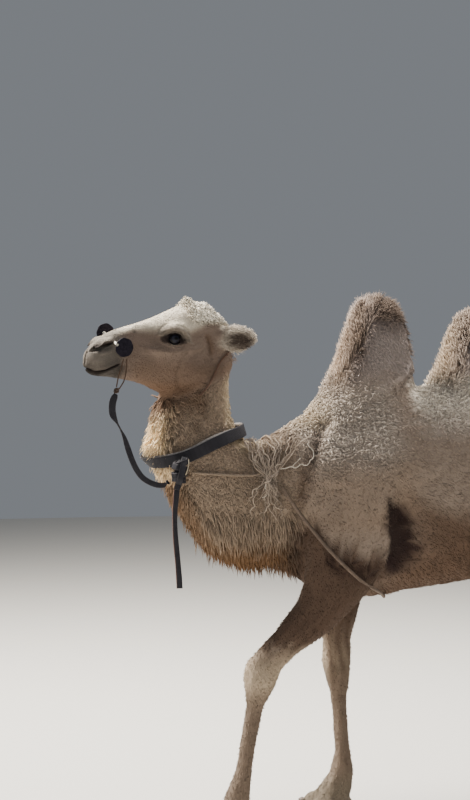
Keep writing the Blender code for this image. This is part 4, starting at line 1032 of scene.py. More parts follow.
# painted shade: the skin is darkened a little everywhere, and more under long hair, as the coat's shade on it
hairShadeOnSkin = {"wool": 0.30, "throat": 0.25, "chest": 0.25, "crestFront": 0.25, "crestRear": 0.2}
under = 1 - sum(share * masks[name] for name, share in hairShadeOnSkin.items())
storeColours(skin.data, markings * 0.92 * under[:, None])
dressed(skin, skinFur, "body_coat", *fleshNodes)
print("skin coloured")


# which way the hair lies
def lieOf(points, normals):
    q = points - offset
    x, y, z = q.T
    turn = np.array(headMatrix)[:3, :3]
    lie = np.zeros_like(points)

    def add(direction, share):
        lie[:] += np.array(direction) * share[:, None]

    add((0.80, 0, -0.62), region["trunk"])
    add((0.18, 0, -1.0), region["humpFront"] + region["humpRear"])
    add((0.40, 0, -0.92), region["neckUpper"])
    add((0.25, 0, -0.97), region["neckLower"])
    add((0.12, 0, -1.0), masks["legs"])
    add((0.05, 0, -1.0), region["tail"])
    add(turn @ np.array((-1.0, 0, -0.25)), masks["face"])
    add(turn @ np.array((-1.0, 0, 0.1)), masks["ears"])
    add((-0.3, 0, -0.9), masks["throat"] + masks["chest"])
    add((0.0, 0, -1.5), masks["fringe"])
    f, g = alongHump(q, "front"), alongHump(q, "rear")
    for share, along in ((masks["crestFront"], f), (masks["crestRear"], g)):
        add((-0.35, 0, 2.6), share * ramp(along, 0.55, 0.25))
        add((1.6, 0, 1.2), share * ramp(along, 0.25, 0.55) * ramp(z, 1.90, 1.98))
        add((1.2, 0, -1.2), share * ramp(along, 0.80, 0.92))
    swirl = 0.35 * np.sin(17 * x + 6 * z) * np.sin(15 * z - 9 * y + 1.0) + 0.2 * np.sin(43 * x - 31 * z)
    lie += np.cross(normals, unit(lie)) * swirl[:, None]
    lie -= normals * (lie * normals).sum(1)[:, None]
    return unit(averaged(lie, edges, 0.6, 4))


lie = lieOf(points, normals)


# an unwrap of the skin's own shape, for the places of the tufts on their maps
def unwrapSkin():
    piece = linked("skinUnwrap", skin.data.copy())
    slim = piece.modifiers.new("slim", "DECIMATE")
    slim.ratio = 0.05
    settled(piece)
    bpy.ops.object.select_all(action="DESELECT")
    bpy.context.view_layer.objects.active = piece
    piece.select_set(True)
    bpy.ops.object.mode_set(mode="EDIT")
    bpy.ops.mesh.select_all(action="SELECT")
    bpy.ops.uv.smart_project(angle_limit=math.radians(62), island_margin=0.004)
    bpy.ops.object.mode_set(mode="OBJECT")
    mesh = piece.data
    faces = trianglesOf(mesh)
    corners = np.empty(len(faces) * 3, np.int32)
    mesh.loop_triangles.foreach_get("loops", corners)
    uv = np.empty(len(mesh.loops) * 2, np.float32)
    mesh.uv_layers.active.data.foreach_get("uv", uv)
    uv = uv.reshape(-1, 2)[corners].reshape(-1, 3, 2)
    places = pointsOf(mesh)
    tree = BVHTree.FromPolygons(places.tolist(), faces.tolist())
    bpy.data.objects.remove(piece)
    bpy.data.meshes.remove(mesh)
    return tree, places[faces], uv


skinTree, skinCorners, skinMap = unwrapSkin()


def mapPlaces(roots):
    found = [skinTree.find_nearest(p) for p in roots.tolist()]
    index = np.array([hit[2] for hit in found])
    place = np.array([hit[0] for hit in found])
    a, b, c = skinCorners[index].transpose(1, 0, 2)
    v0, v1, v2 = b - a, c - a, place - a
    d00, d01, d11 = (v0 * v0).sum(1), (v0 * v1).sum(1), (v1 * v1).sum(1)
    d20, d21 = (v2 * v0).sum(1), (v2 * v1).sum(1)
    size = np.maximum(d00 * d11 - d01 * d01, 1e-14)
    s, t = (d11 * d20 - d01 * d21) / size, (d00 * d21 - d01 * d20) / size
    s, t = np.clip(s, 0, 1), np.clip(t, 0, 1)
    uv = skinMap[index]
    return uv[:, 0] * (1 - s - t)[:, None] + uv[:, 1] * s[:, None] + uv[:, 2] * t[:, None]


print("skin unwrapped")


skinFaces = trianglesOf(skin.data)
a, b, c = points[skinFaces].transpose(1, 0, 2)
faceAreas = np.linalg.norm(np.cross(b - a, c - a), axis=1) / 2


# shade gives the factors at a tuft's root and tip: darker roots are painted shade among the hairs, tips over
# one are painted light
usualCoat = {
    "steps": 2, "length": (0.014, 0.024), "width": 0.0042, "thick": 0.35, "lift": (0.30, 0.10),
    "spread": 0.30, "sway": 0.15, "waves": 0.5, "droop": 0.0, "sink": 0.0015, "tone": 0.14,
    "shade": (0.84, 1.08),
}


def growCoat(title, weight, slot, **changes):
    settings = {**usualCoat, **changes}
    chance = np.random.default_rng(settings["seed"])
    count, steps = settings["count"], settings["steps"]
    load = faceAreas * weight[skinFaces].mean(axis=1)
    load = np.cumsum(load / load.sum())
    picks = np.searchsorted(load, (np.arange(count) + chance.random(count)) / count)
    picks = np.minimum(picks, len(skinFaces) - 1)
    r1, r2 = np.sqrt(chance.random(count)), chance.random(count)
    shares = np.stack([1 - r1, r1 * (1 - r2), r1 * r2], axis=1)

    def atRoots(values):
        return (values[skinFaces[picks]] * shares[:, :, None]).sum(1)

    root, up = atRoots(points), unit(atRoots(normals))
    along = atRoots(lie)
    along = unit(along - up * (along * up).sum(1)[:, None])
    across = np.cross(up, along)
    stray = chance.normal(0, settings["spread"], count)[:, None]
    along = unit(along * np.cos(stray) + across * np.sin(stray))
    across = np.cross(up, along)
    strength = atRoots(weight[:, None])[:, 0] ** 0.5
    size = chance.uniform(*settings["length"], count) * (0.55 + 0.45 * np.clip(strength, 0, 1))
    width = settings["width"] * chance.uniform(0.7, 1.25, count)
    lift0 = settings["lift"][0] * chance.uniform(0.6, 1.3, count)
    lift1 = settings["lift"][1] * chance.uniform(0.6, 1.3, count)
    sway = chance.normal(0, settings["sway"], count)
    phase = chance.uniform(0, 2 * math.pi, count)
    place = root - up * settings["sink"]
    rings = []
    for k in range(steps + 1):
        t = k / steps
        lift = lift0 * (1 - t) + lift1 * t
        heading = along * np.cos(lift)[:, None] + up * np.sin(lift)[:, None]
        turnAside = sway * np.sin(settings["waves"] * t * 2 * math.pi + phase)
        heading = heading + across * turnAside[:, None]
        heading[:, 2] -= settings["droop"] * t
        heading = unit(heading)
        ridge = unit(np.cross(heading, across))
        if settings["lift"][1] > -0.5:
            ridge = np.where((ridge * up).sum(1)[:, None] < 0, -ridge, ridge)
        if k < steps:
            wide = (width * ((0.75, 1.0, 0.9, 0.75)[k] if steps > 2 else (0.8, 1.0)[k]))[:, None]
            sides = unit(np.cross(ridge, heading)) * wide / 2
            rings += [place + sides, place + ridge * wide * settings["thick"], place - sides]
            place = place + heading * (size / steps)[:, None]
    rings.append(place)
    perTuft = 3 * steps + 1
    verts = np.stack(rings, axis=1).reshape(-1, 3)
    verts[:, 2] = np.maximum(verts[:, 2], 0.0006)
    pattern = [(2, 1, 0)]
    for k in range(steps - 1):
        a, b = 3 * k, 3 * k + 3
        for i in range(3):
            j = (i + 1) % 3
            pattern.append((a + i, a + j, b + j, b + i))
    last = 3 * (steps - 1)
    for i in range(3):
        pattern.append((last + i, last + (i + 1) % 3, perTuft - 1))
    flatPattern = np.array([i for face in pattern for i in face])
    sizes = np.array([len(face) for face in pattern])
    starts = np.arange(count) * perTuft
    loops = (starts[:, None] + flatPattern).ravel()
    mesh = bpy.data.meshes.new(title)
    mesh.vertices.add(len(verts))
    mesh.loops.add(len(loops))
    mesh.polygons.add(count * len(pattern))
    mesh.vertices.foreach_set("co", verts.astype(np.float32).ravel())
    mesh.loops.foreach_set("vertex_index", loops.astype(np.int32))
    loopStarts = np.concatenate([[0], np.cumsum(np.tile(sizes, count))[:-1]])
    mesh.polygons.foreach_set("loop_start", loopStarts.astype(np.int32))
    mesh.update(calc_edges=True)
    shade = np.repeat(chance.uniform(1 - settings["tone"], 1 + settings["tone"], count), perTuft)
    reach = np.tile(np.append(np.repeat(np.arange(steps) / steps, 3), 1.0), count)
    # painted shade and light along each tuft: darker at the root, lighter towards the tip
    dark, light = settings["shade"]
    shade = shade * (dark + (light - dark) * reach)
    colours = np.repeat(atRoots(markings), perTuft, axis=0)
    if "tip" in settings:
        share = (settings["tipShare"] * reach)[:, None]
        colours = colours * (1 - share) + np.array(settings["tip"]) * share
    storeColours(mesh, colours * shade[:, None])
    patch = 0.003
    spot = np.stack([np.tile(np.append(np.tile((0.0, 0.5, 1.0), steps), 0.5), count), reach], axis=1)
    uv = np.repeat(mapPlaces(root), perTuft, axis=0) + (spot - 0.5) * patch
    layer = mesh.uv_layers.new(name="OFBake")
    layer.data.foreach_set("uv", uv[loops].astype(np.float32).ravel())
    dressed(linked(title, mesh), tuftFur, slot)
    print(title, "tufts", count, "triangles", count * (sizes - 2).sum())


x, y, z = (points - offset).T
h = inHead(points)
leftSide = ramp(y, 0.01, -0.01)
longHair = masks["throat"] + masks["chest"] + masks["fringe"] + masks["crestFront"] + masks["crestRear"]
short = 1 - np.clip(longHair, 0, 1)
trunk = np.clip(region["trunk"], 0, 1)
aboveSole = ramp(z, 0.04, 0.07)
muzzle = ramp(np.abs(h[:, 0] - 0.53), 0.09, 0.05)
behindEar = np.linalg.norm(h[:, [0, 2]] - (-0.020, 1.858), axis=1)
fromMiddle = np.abs(h[:, 1])
wisps = ramp(behindEar, 0.045, 0.015) * ramp(fromMiddle, 0.035, 0.055) * ramp(fromMiddle, 0.13, 0.11)
legHair = {"length": (0.010, 0.018), "width": 0.0034, "lift": (0.42, 0.16), "spread": 0.35, "tone": 0.2}
curls = {"steps": 3, "length": (0.018, 0.034), "width": 0.0047, "thick": 0.40, "lift": (1.0, -1.3),
         "spread": 1.1, "sway": 0.7, "waves": 0.8, "tone": 0.20, "shade": (0.56, 1.14)}

growCoat("coatTrunkLeft", trunk * short * leftSide, "body_coat", seed=11, count=12000)
growCoat("coatTrunkRight", trunk * short * (1 - leftSide), "body_coat", seed=12, count=9000)
growCoat("coatHumps", (region["humpFront"] + region["humpRear"]) * short, "crest_coat",
         seed=13, count=7500, length=(0.016, 0.028))
growCoat("coatForelegs", (region["foreLeft"] + region["foreRight"]) * aboveSole, "body_coat",
         seed=14, count=8500, **legHair)
growCoat("coatHindlegs", (region["hindLeft"] + region["hindRight"]) * aboveSole, "body_coat",
         seed=15, count=8000, **legHair)
growCoat("coatNeck", masks["neck"] * short, "neck_coat",
         seed=16, count=9000, steps=3, length=(0.014, 0.026), lift=(0.55, -0.1), spread=0.5, sway=0.5,
         waves=0.8, tone=0.2, shade=(0.72, 1.10))
growCoat("coatWoolLeft", masks["wool"] * leftSide, "body_coat", seed=17, count=7800, **curls)
growCoat("coatWoolRight", masks["wool"] * (1 - leftSide), "body_coat", seed=18, count=7000, **curls)
growCoat("coatCrestFront", masks["crestFront"], "crest_coat",
         seed=19, count=5200, steps=3, length=(0.036, 0.056), width=0.0033, lift=(1.0, 0.55), spread=0.28,
         sway=0.16, sink=0.003, tone=0.25, shade=(0.55, 1.10), tip=linear(168, 146, 124), tipShare=0.35)
growCoat("coatCrestRear", masks["crestRear"], "crest_coat",
         seed=20, count=4700, steps=3, length=(0.034, 0.052), lift=(1.0, 0.5), spread=0.45, sway=0.3,
         sink=0.003, tone=0.25, shade=(0.55, 1.12), tip=linear(176, 156, 134), tipShare=0.35)
# the throat tufts' tips over one are painted light on the mane
growCoat("coatThroat", masks["throat"], "neck_coat",
         seed=21, count=4000, steps=4, length=(0.050, 0.092), width=0.0062, lift=(1.0, 0.30), spread=0.45,
         sway=0.45, waves=1.0, droop=0.45, sink=0.004, tone=0.20, shade=(0.66, 1.50))
growCoat("coatChest", masks["chest"], "neck_coat",
         seed=22, count=3400, steps=4, length=(0.045, 0.070), width=0.0048, lift=(0.85, 0.20), spread=0.40,
         sway=0.4, waves=1.0, droop=0.5, sink=0.004, tone=0.18, shade=(0.60, 1.12))
growCoat("coatFringe", masks["fringe"], "neck_coat",
         seed=23, count=3500, steps=4, length=(0.070, 0.115), width=0.0050, lift=(0.35, 0.15), spread=0.25,
         sway=0.25, waves=0.9, droop=1.3, sink=0.004, tone=0.18, shade=(0.62, 1.12))
growCoat("coatHead", masks["face"] * (1 - 0.9 * muzzle), "pale_coat",
         seed=24, count=11000, length=(0.006, 0.011), width=0.0020, lift=(0.26, 0.06), sink=0.0008,
         tone=0.10, shade=(0.90, 1.05))
growCoat("coatEars", masks["ears"], "pale_coat",
         seed=27, count=3600, steps=3, length=(0.012, 0.021), width=0.0017, lift=(0.85, 0.5), spread=0.35,
         sway=0.3, sink=0.0008, tone=0.26, shade=(0.62, 1.15))
growCoat("coatCrown", masks["crown"], "pale_coat",
         seed=25, count=3900, steps=3, length=(0.014, 0.026), width=0.004, lift=(1.0, -0.5), spread=1.0,
         sway=0.6, waves=0.8, tone=0.26, shade=(0.50, 1.15))
growCoat("coatWisps", wisps, "pale_coat",
         seed=28, count=170, steps=4, length=(0.026, 0.048), width=0.0022, lift=(0.7, 0.1), spread=0.5,
         sway=0.4, tone=0.2)
growCoat("coatTail", region["tail"] + 2.5 * masks["tailBrush"], "body_coat",
         seed=26, count=2100, steps=4, length=(0.030, 0.070), width=0.0040, lift=(0.45, 0.10), droop=1.2,
         shade=(0.7, 1.1))


# straps, cords, eyes, nails and matted locks
def rounded(route, spacing):
    # points about that far apart on a smooth line through the route
    p = [Vector(v) for v in route]
    p = [p[0]] + p + [p[-1]]
    result = [p[1]]
    for a, b, c, d in zip(p, p[1:], p[2:], p[3:]):
        steps = max(1, round((c - b).length / spacing))
        for k in range(1, steps + 1):
            t = k / steps
            curve = 2 * b + (c - a) * t + (2 * a - 5 * b + 4 * c - d) * t * t
            curve += (3 * b - a - 3 * c + d) * t ** 3
            result.append(curve / 2)
    return np.array([tuple(v) for v in result])


def runAlong(path):
    return np.concatenate([[0], np.cumsum(np.linalg.norm(np.diff(path, axis=0), axis=1))])


def newShape():
    shape = bmesh.new()
    shape.verts.layers.float_vector.new("weave")
    shape.verts.layers.float_color.new("coatColour")
    return shape


def sweep(shape, path, wide, thick, tone, across=None, sides=10, square=2.0, closed=False):
    # a tube or flat band along the path: square 2 is an ellipse, more is a rounded oblong
    path = np.array(path, float)
    count = len(path)
    ahead = unit(np.roll(path, -1, 0) - np.roll(path, 1, 0)) if closed else unit(np.gradient(path, axis=0))
    if across is None:
        side, across = np.cross(ahead[0], (0.31, 0.23, 0.92)), []
        for a in ahead:
            side = unit(side - a * (side @ a))
            across.append(side)
    across = np.broadcast_to(np.array(across, float), (count, 3))
    across = unit(across - ahead * (across * ahead).sum(1)[:, None])
    up = np.cross(ahead, across)
    turn = 2 * math.pi * np.arange(sides) / sides
    c, s = np.cos(turn), np.sin(turn)
    c, s = np.sign(c) * np.abs(c) ** (2 / square), np.sign(s) * np.abs(s) ** (2 / square)
    wide = np.broadcast_to(wide, count)[:, None] / 2
    thick = np.broadcast_to(thick, count)[:, None] / 2
    rings = path[:, None] + across[:, None] * (c * wide)[..., None] + up[:, None] * (s * thick)[..., None]
    tone = np.array(tone, float)  # one tone, one for each ring, or one for each point
    tone = np.broadcast_to(tone[:, None] if tone.ndim == 2 else tone, (count, sides, 3))
    run = runAlong(path)
    weave, colour = shape.verts.layers.float_vector["weave"], shape.verts.layers.float_color["coatColour"]
    rows = []
    for k in range(count):
        row = []
        for i in range(sides):
            v = shape.verts.new(rings[k, i])
            v[weave] = (run[k], 0.012 * i / sides, 0)
            v[colour] = (*tone[k, i], 1)
            row.append(v)
        rows.append(row)
    for low, high in zip(rows, rows[1:] + rows[:1] if closed else rows[1:]):
        for i in range(sides):
            shape.faces.new((low[i - 1], low[i], high[i], high[i - 1]))
    if not closed:
        shape.faces.new(rows[0][::-1])
        shape.faces.new(rows[-1])


def finished(title, shape, material, slot, *replaced):
    bmesh.ops.recalc_face_normals(shape, faces=shape.faces)
    return dressed(linked(title, meshFrom(shape, title)), material, slot, *replaced)


def overFlesh(points, height):
    # the same points, that far over the body's own surface
    result = []
    for p, h in zip(points, np.broadcast_to(height, len(points))):
        place, normal = fleshTree.find_nearest(Vector(p))[:2]
        result.append(tuple(place + normal * h))
    return np.array(result)


fleshTree = treeOf(fleshNodes)[0]
strapTones = {
    "black": linear(36, 35, 41),
    "worn": linear(74, 70, 72),
    "grey": linear(148, 142, 138),
    "pink": linear(150, 112, 100),
}


def strapTone(count, sides, wear, edgeTone, oneEdge=False):
    # black webbing with both edges, or one, rubbed to another tone; wear is a share, or one for each ring
    side = np.cos(2 * math.pi * np.arange(sides) / sides)
    edge = ramp(-side, 0.55, 0.95) if oneEdge else ramp(np.abs(side), 0.80, 0.97)
    edge = wear * edge[None, :, None] * np.ones((count, 1, 1))
    return np.array(strapTones["black"]) * (1 - edge) + np.array(strapTones[edgeTone]) * edge


# collar: the CAD band's own line, made round, with worn edges and a paler inner layer
def makeCollar():
    settings = {
        "centre": (-0.757, 0.0, 1.500),
        "normal": (-0.282, 0.0, 0.959),
        "width": 0.047,
        "thick": 0.0052,
    }
    centre = np.array(settings["centre"]) + offset
    normal = unit(np.array(settings["normal"]))
    sideways = np.array((0.0, 1.0, 0.0))
    back = np.cross(sideways, normal)
    v = pointsOf(nodes["collar"].data) - centre
    angle = np.arctan2(v @ sideways, v @ back)
    count = 28
    slot = np.round(angle / (2 * math.pi) * count).astype(int) % count
    radius = np.array([np.hypot(v @ sideways, v @ back)[slot == k].mean() for k in range(count)])
    lift = np.array([(v @ normal)[slot == k].mean() for k in range(count)])
    fine = 168
    t = np.arange(fine) / fine * count
    spread = {}
    for name, values in (("radius", radius), ("lift", lift)):
        smooth = np.interp(t, np.arange(count + 1), np.append(values, values[0]))
        for _ in range(5):
            smooth = (np.roll(smooth, 1) + 2 * smooth + np.roll(smooth, -1)) / 4
        spread[name] = smooth
    turn = 2 * math.pi * np.arange(fine) / fine
    out = np.cos(turn)[:, None] * back + np.sin(turn)[:, None] * sideways
    ripple = 0.0010 * np.sin(5 * turn + 1) + 0.0006 * np.sin(11 * turn)
    snug = 0.0075 * ramp(np.cos(turn), -0.75, -0.2)
    path = centre + out * (spread["radius"] + ripple - snug)[:, None] + normal * spread["lift"][:, None]
    lean = 0.12 * np.sin(3 * turn + 0.5) + 0.07 * np.sin(7 * turn) + 0.55 * bell(turn, math.pi, 0.7)
    across = normal * np.cos(lean)[:, None] + out * np.sin(lean)[:, None]
    shape = newShape()
    wear = 0.35 + 0.5 * (0.5 + 0.5 * np.sin(9 * turn + 2 * np.sin(4 * turn)))[:, None, None]
    tone = strapTone(fine, 20, wear, "worn")
    sweep(shape, path, settings["width"], settings["thick"], tone, across, 20, 4.0, True)
    # the inner layer shows as a paler line over the top edge
    rise = 0.018 + 0.006 * bell(turn, 4.5, 0.8) + 0.002 * np.sin(4 * turn)
    inner = path - out * 0.0035 + normal * rise[:, None]
    sweep(shape, inner, 0.013, 0.0035, strapTones["grey"], across, 10, 3.0, True)
    return finished("neckCollar", shape, webbing, "black_webbing", "collar")


makeCollar()


def ringPath(centre, first, second, a, b, count=28):
    turn = 2 * math.pi * np.arange(count) / count
    first, second = np.array(first) * a, np.array(second) * b
    return np.array(centre) + np.cos(turn)[:, None] * first + np.sin(turn)[:, None] * second


def addCore(shape, centre, radius, stretch, tone, detail):
    # the filled middle of a knot
    colour = shape.verts.layers.float_color["coatColour"]
    for v in bmesh.ops.create_icosphere(shape, subdivisions=detail, radius=radius)["verts"]:
        v.co = Vector([p * share for p, share in zip(v.co, stretch)]) + Vector(centre)
        v[colour] = (*tone, 1)


# knot of the same strap: turns laid over each other, tied with a thin pale cord
def makeKnot():
    centre = np.array(placed([(-0.846, -0.156, 1.404)])[0])
    shape = newShape()
    tone = strapTone(28, 14, 0.7, "worn")
    # place, two directions of the ring, direction across the strap, two radii, width
    turns = [
        ((0.004, 0, 0.034), (1, 0.1, 0.35), (0, 1, 0.1), (-0.3, 0, 1), 0.027, 0.022, 0.021),
        ((0.000, 0, 0.014), (1, 0.1, -0.25), (0, 1, 0), (0.2, 0, 1), 0.030, 0.025, 0.022),
        ((-0.004, 0, -0.008), (1, 0.1, 0.20), (0, 1, 0.1), (-0.2, 0, 1), 0.028, 0.024, 0.021),
        ((-0.006, 0, -0.030), (1, 0.1, -0.15), (0, 1, 0), (0.1, 0, 1), 0.024, 0.020, 0.020),
        ((0.002, -0.008, 0.004), (0.25, 0.1, 1), (0.2, 1, 0), (1, 0, -0.2), 0.050, 0.022, 0.022),
    ]
    for place, first, second, across, a, b, width in turns:
        first, second = unit(np.array(first, float)), unit(np.array(second, float))
        path = ringPath(centre + place, first, second, a, b)
        path += first * 0.003 * np.sin(np.arange(len(path)) * 0.9)[:, None]
        sweep(shape, path, width, 0.0048, tone, across, 14, 4.0, True)
    # the strap leaves the knot below
    below = [
        (-0.846, -0.154, 1.395), (-0.851, -0.158, 1.372),
        (-0.858, -0.159, 1.352), (-0.8618, -0.1572, 1.3366),
    ]
    below = rounded(placed(below), 0.005)
    wide = np.linspace(0.027, 0.022, len(below))
    sweep(shape, below, wide, 0.0046, strapTones["black"], (0.94, -0.33, 0.0), 14, 4.0)
    addCore(shape, centre, 0.020, (1.1, 0.9, 2.3), strapTones["black"], 3)
    tie = ringPath(centre + (0.020, -0.002, 0.012), (0.25, 0, 0.97), (0, 1, 0), 0.034, 0.026, 36)
    sweep(shape, tie, 0.0035, 0.0035, linear(190, 176, 150), None, 8, 2.0, True)
    return finished("collarKnot", shape, webbing, "black_webbing", "collar_knot")


makeKnot()


# flat webbing that hangs free and twists, so that it looks wide, then narrow
flatOn, edgeOn = np.array((0.96, -0.28, 0.0)), np.array((0.28, 0.96, 0.0))


def hangStrap(title, node, route, spacing, shapeAt):
    path = rounded(placed(route), spacing)
    run = runAlong(path)
    twist, lean, wide, tone = shapeAt(run)
    across = flatOn * np.cos(twist)[:, None] + edgeOn * np.sin(twist)[:, None]
    across = across + np.array((0.0, 0.0, 0.6)) * lean[:, None]
    shape = newShape()
    sweep(shape, path, wide, 0.0035, tone, across, 14, 4.0)
    return finished(title, shape, webbing, "black_webbing", node), path.tolist(), float(run[-1])


# from the small knot to the collar
def makeNoseLine():
    route = [
        (-1.100, -0.200, 1.6935), (-1.112, -0.200, 1.662), (-1.112, -0.200, 1.622), (-1.096, -0.198, 1.590),
        (-1.070, -0.195, 1.540), (-1.054, -0.192, 1.495), (-1.037, -0.188, 1.450), (-1.016, -0.184, 1.410),
        (-0.989, -0.179, 1.380), (-0.946, -0.172, 1.359), (-0.912, -0.164, 1.356), (-0.8935, -0.158, 1.368),
    ]

    def shapeAt(run):
        twist = np.interp(run, [0, 0.07, 0.115, 0.14, 0.19, 0.30, 0.46],
                          np.radians([10, 0, 75, 80, 25, 15, 35]))
        wide = np.interp(run, [0, 0.012, 0.03, 0.08, 0.12, 0.16, 0.22, 0.40, 0.46],
                         [0.014, 0.024, 0.026, 0.025, 0.015, 0.016, 0.022, 0.021, 0.018])
        return twist, ramp(run, 0.30, 0.42), wide, strapTone(len(run), 14, 0.6, "worn")

    line, path, length = hangStrap("noseLine", "nose_line", route, 0.007, shapeAt)


makeNoseLine()


# the loose end below the collar's knot, pink along one edge
def makeStrapTail():
    route = [
        (-0.862, -0.157, 1.336), (-0.866, -0.162, 1.300), (-0.872, -0.170, 1.250), (-0.872, -0.174, 1.190),
        (-0.868, -0.176, 1.130), (-0.862, -0.176, 1.070), (-0.857, -0.175, 1.010), (-0.855, -0.175, 0.972),
    ]

    def shapeAt(run):
        twist = np.radians(12 + 22 * np.sin(run * 11))
        wide = 0.022 * (1 + 0.04 * np.sin(run * 40))
        return twist, np.zeros(len(run)), wide, strapTone(len(run), 14, 0.8, "pink", oneEdge=True)

    tail, path, length = hangStrap("strapTail", "strap_tail", route, 0.008, shapeAt)


makeStrapTail()


# small knot under the muzzle, and the two thin cords from the plate down to it
def makeLineKnot():
    centre = np.array(placed([(-1.098, -0.200, 1.706)])[0])
    shape = newShape()
    for lift, a in ((-0.006, 0.0072), (0.0, 0.0085), (0.006, 0.0070)):
        path = ringPath(centre + (0, 0, lift), (1, 0, 0.25), (0, 1, 0.1), a, a * 0.85, 20)
        sweep(shape, path, 0.0056, 0.0056, linear(76, 62, 54), None, 8, 2.0, True)
    addCore(shape, centre, 0.0075, (1, 1, 1.45), linear(70, 58, 50), 2)
    return finished("lineKnot", shape, rope, "brown_cord", "line_knot")


lineKnot = makeLineKnot()
noseCords = {
    "nose_cord_front": [
        (-1.068, -0.181, 1.821), (-1.078, -0.188, 1.790), (-1.090, -0.195, 1.755), (-1.098, -0.200, 1.7188)],
    "nose_cord_rear": [
        (-1.056, -0.178, 1.822), (-1.058, -0.184, 1.785), (-1.067, -0.191, 1.745), (-1.0875, -0.1985, 1.712)],
}


def makeNoseCord(title, node):
    path = rounded(placed(noseCords[node]), 0.004)
    shape = newShape()
    sweep(shape, path, 0.0048, 0.0048, linear(84, 66, 54), None, 8)
    cord = finished(title, shape, rope, "brown_cord", node)


makeNoseCord("noseCordFront", "nose_cord_front")
makeNoseCord("noseCordRear", "nose_cord_rear")


# light cords that lie on the coat: the CAD tubes, rounder
def makeLaidCord(title, node, tone):
    piece = mergedCopy([node], title)
    smooth = piece.modifiers.new("round", "SUBSURF")
    smooth.levels = smooth.render_levels = 2
    settled(piece)
    mesh = piece.data
    p = pointsOf(mesh)
    weave = mesh.attributes.new("weave", "FLOAT_VECTOR", "POINT")
    weave.data.foreach_set("vector", p.astype(np.float32).ravel())
    storeColours(mesh, np.tile(np.array(tone), (len(p), 1)))
    dressed(piece, rope, "brown_cord", node)


makeLaidCord("neckTwine", "twine", linear(132, 116, 100))
makeLaidCord("girthRope", "girth_cord", linear(108, 93, 82))
makeLaidCord("throatCord", "throat_cord", linear(106, 80, 68))
print("straps and cords")


# nose plates and peg
def makePlates():
    for side in ("left", "right"):
        piece = mergedCopy(["nose_disc_" + side], "nosePlate" + side.capitalize())
        soft = piece.modifiers.new("edge", "BEVEL")
        soft.width, soft.segments, soft.limit_method, soft.angle_limit = 0.0012, 3, "ANGLE", math.radians(40)
        settled(piece)
        dressed(piece, darkHide, "dark_leather", "nose_disc_" + side)


makePlates()


def makePeg():
    ends = onHead([(0.466, -0.092, 1.880), (0.446, 0.096, 1.917)])
    start, stop = (np.array(e) for e in ends)
    share = np.array([0.068, 0.071, 0.080, 0.095, 0.12, 0.2, 0.5, 0.8, 0.94, 1.0, 1.02, 1.026])
    wide = [0.005, 0.009, 0.0115, 0.0108, 0.0098, 0.0095, 0.0095, 0.0095, 0.0098, 0.0105, 0.008, 0.004]
    path = start + (stop - start) * share[:, None]
    shape = newShape()
    sweep(shape, path, wide, wide, (1, 1, 1), None, 20)
    return finished("nosePeg", shape, paleBone, "pale_bone", "nose_peg")


makePeg()


# eyes: dark iris, level pupil, clear wet surface
def makeEye(side, title, node):
    centre, axis, ahead, above = eyeFrame(side)
    shape = bmesh.new()
    bmesh.ops.create_uvsphere(shape, u_segments=56, v_segments=40, radius=faceSettings["eyeRadius"])
    turn = Vector(axis).to_track_quat("Z", "Y").to_matrix()
    bmesh.ops.rotate(shape, verts=shape.verts, matrix=turn)
    mesh = meshFrom(shape, title)
    d = unit(pointsOf(mesh))
    a, b, out = d @ ahead, d @ above, d @ axis
    pupil = ramp(np.hypot(a / 0.36, b / 0.19), 1.12, 0.9) * (out > 0)
    iris = ramp(np.hypot(a, b), 0.74, 0.66) * (out > 0)
    ray = 1 + 0.25 * np.sin(28 * np.arctan2(b, a) + 2 * np.sin(9 * np.arctan2(b, a)))
    white, ring, dark = (np.array(linear(*c)) for c in ((14, 12, 16), (24, 25, 36), (8, 8, 10)))
    tone = white * (1 - iris)[:, None] + ring * (ray * iris)[:, None]
    tone = tone * (1 - pupil)[:, None] + dark * pupil[:, None]
    tone *= (1 - 0.75 * bell(np.hypot(a, b), 0.70, 0.06))[:, None]
    storeColours(mesh, tone)
    # the clear front bulges a little over the iris
    grow = 1 + 0.03 * ramp(np.hypot(a, b), 0.62, 0.30) * (out > 0)
    setPoints(mesh, moved(centre + d * faceSettings["eyeRadius"] * grow[:, None], headMatrix))
    dressed(linked(title, mesh), eyeGloss, "eye_dark", node)


makeEye(-1, "eyeLeft", "eye_left")
makeEye(1, "eyeRight", "eye_right")


def makeLashes(side, title):
    c = faceSettings
    centre, axis, ahead, above = eyeFrame(side)
    chance = np.random.default_rng(40 + side)
    shape = newShape()
    for row in range(2):
        for k in range(26):
            t = -1.15 + 2.3 * (k + chance.uniform(-0.3, 0.3)) / 25
            a = c["eyeHalfWidth"] * math.sin(t) * 0.98
            b = (c["upperLid"] + 0.0008 + 0.0012 * row) * max(0.0, 1 - abs(math.sin(t)) ** 2.3) ** (1 / 1.9)
            out = math.sqrt(max(0.0, c["eyeRadius"] ** 2 - a * a - b * b))
            root = centre + unit(ahead * a + above * b + axis * out) * (c["eyeRadius"] + 0.0022)
            size = chance.uniform(0.010, 0.015) * (0.7 + 0.3 * math.cos(t))
            lean = ahead * (math.sin(t) * 0.55 + chance.uniform(-0.12, 0.12))
            steps = np.linspace(0, 1, 6)[:, None]
            path = root + size * steps * (axis + lean) + above * size * (0.15 * steps - 0.55 * steps ** 2)
            wide = np.array([0.0009, 0.0009, 0.0008, 0.0006, 0.0004, 0.0001])
            sweep(shape, moved(path, headMatrix), wide, wide, linear(46, 36, 32), None, 3)
    return finished(title, shape, rope, "eye_dark")


makeLashes(-1, "lashesLeft")
makeLashes(1, "lashesRight")
print("eyes")


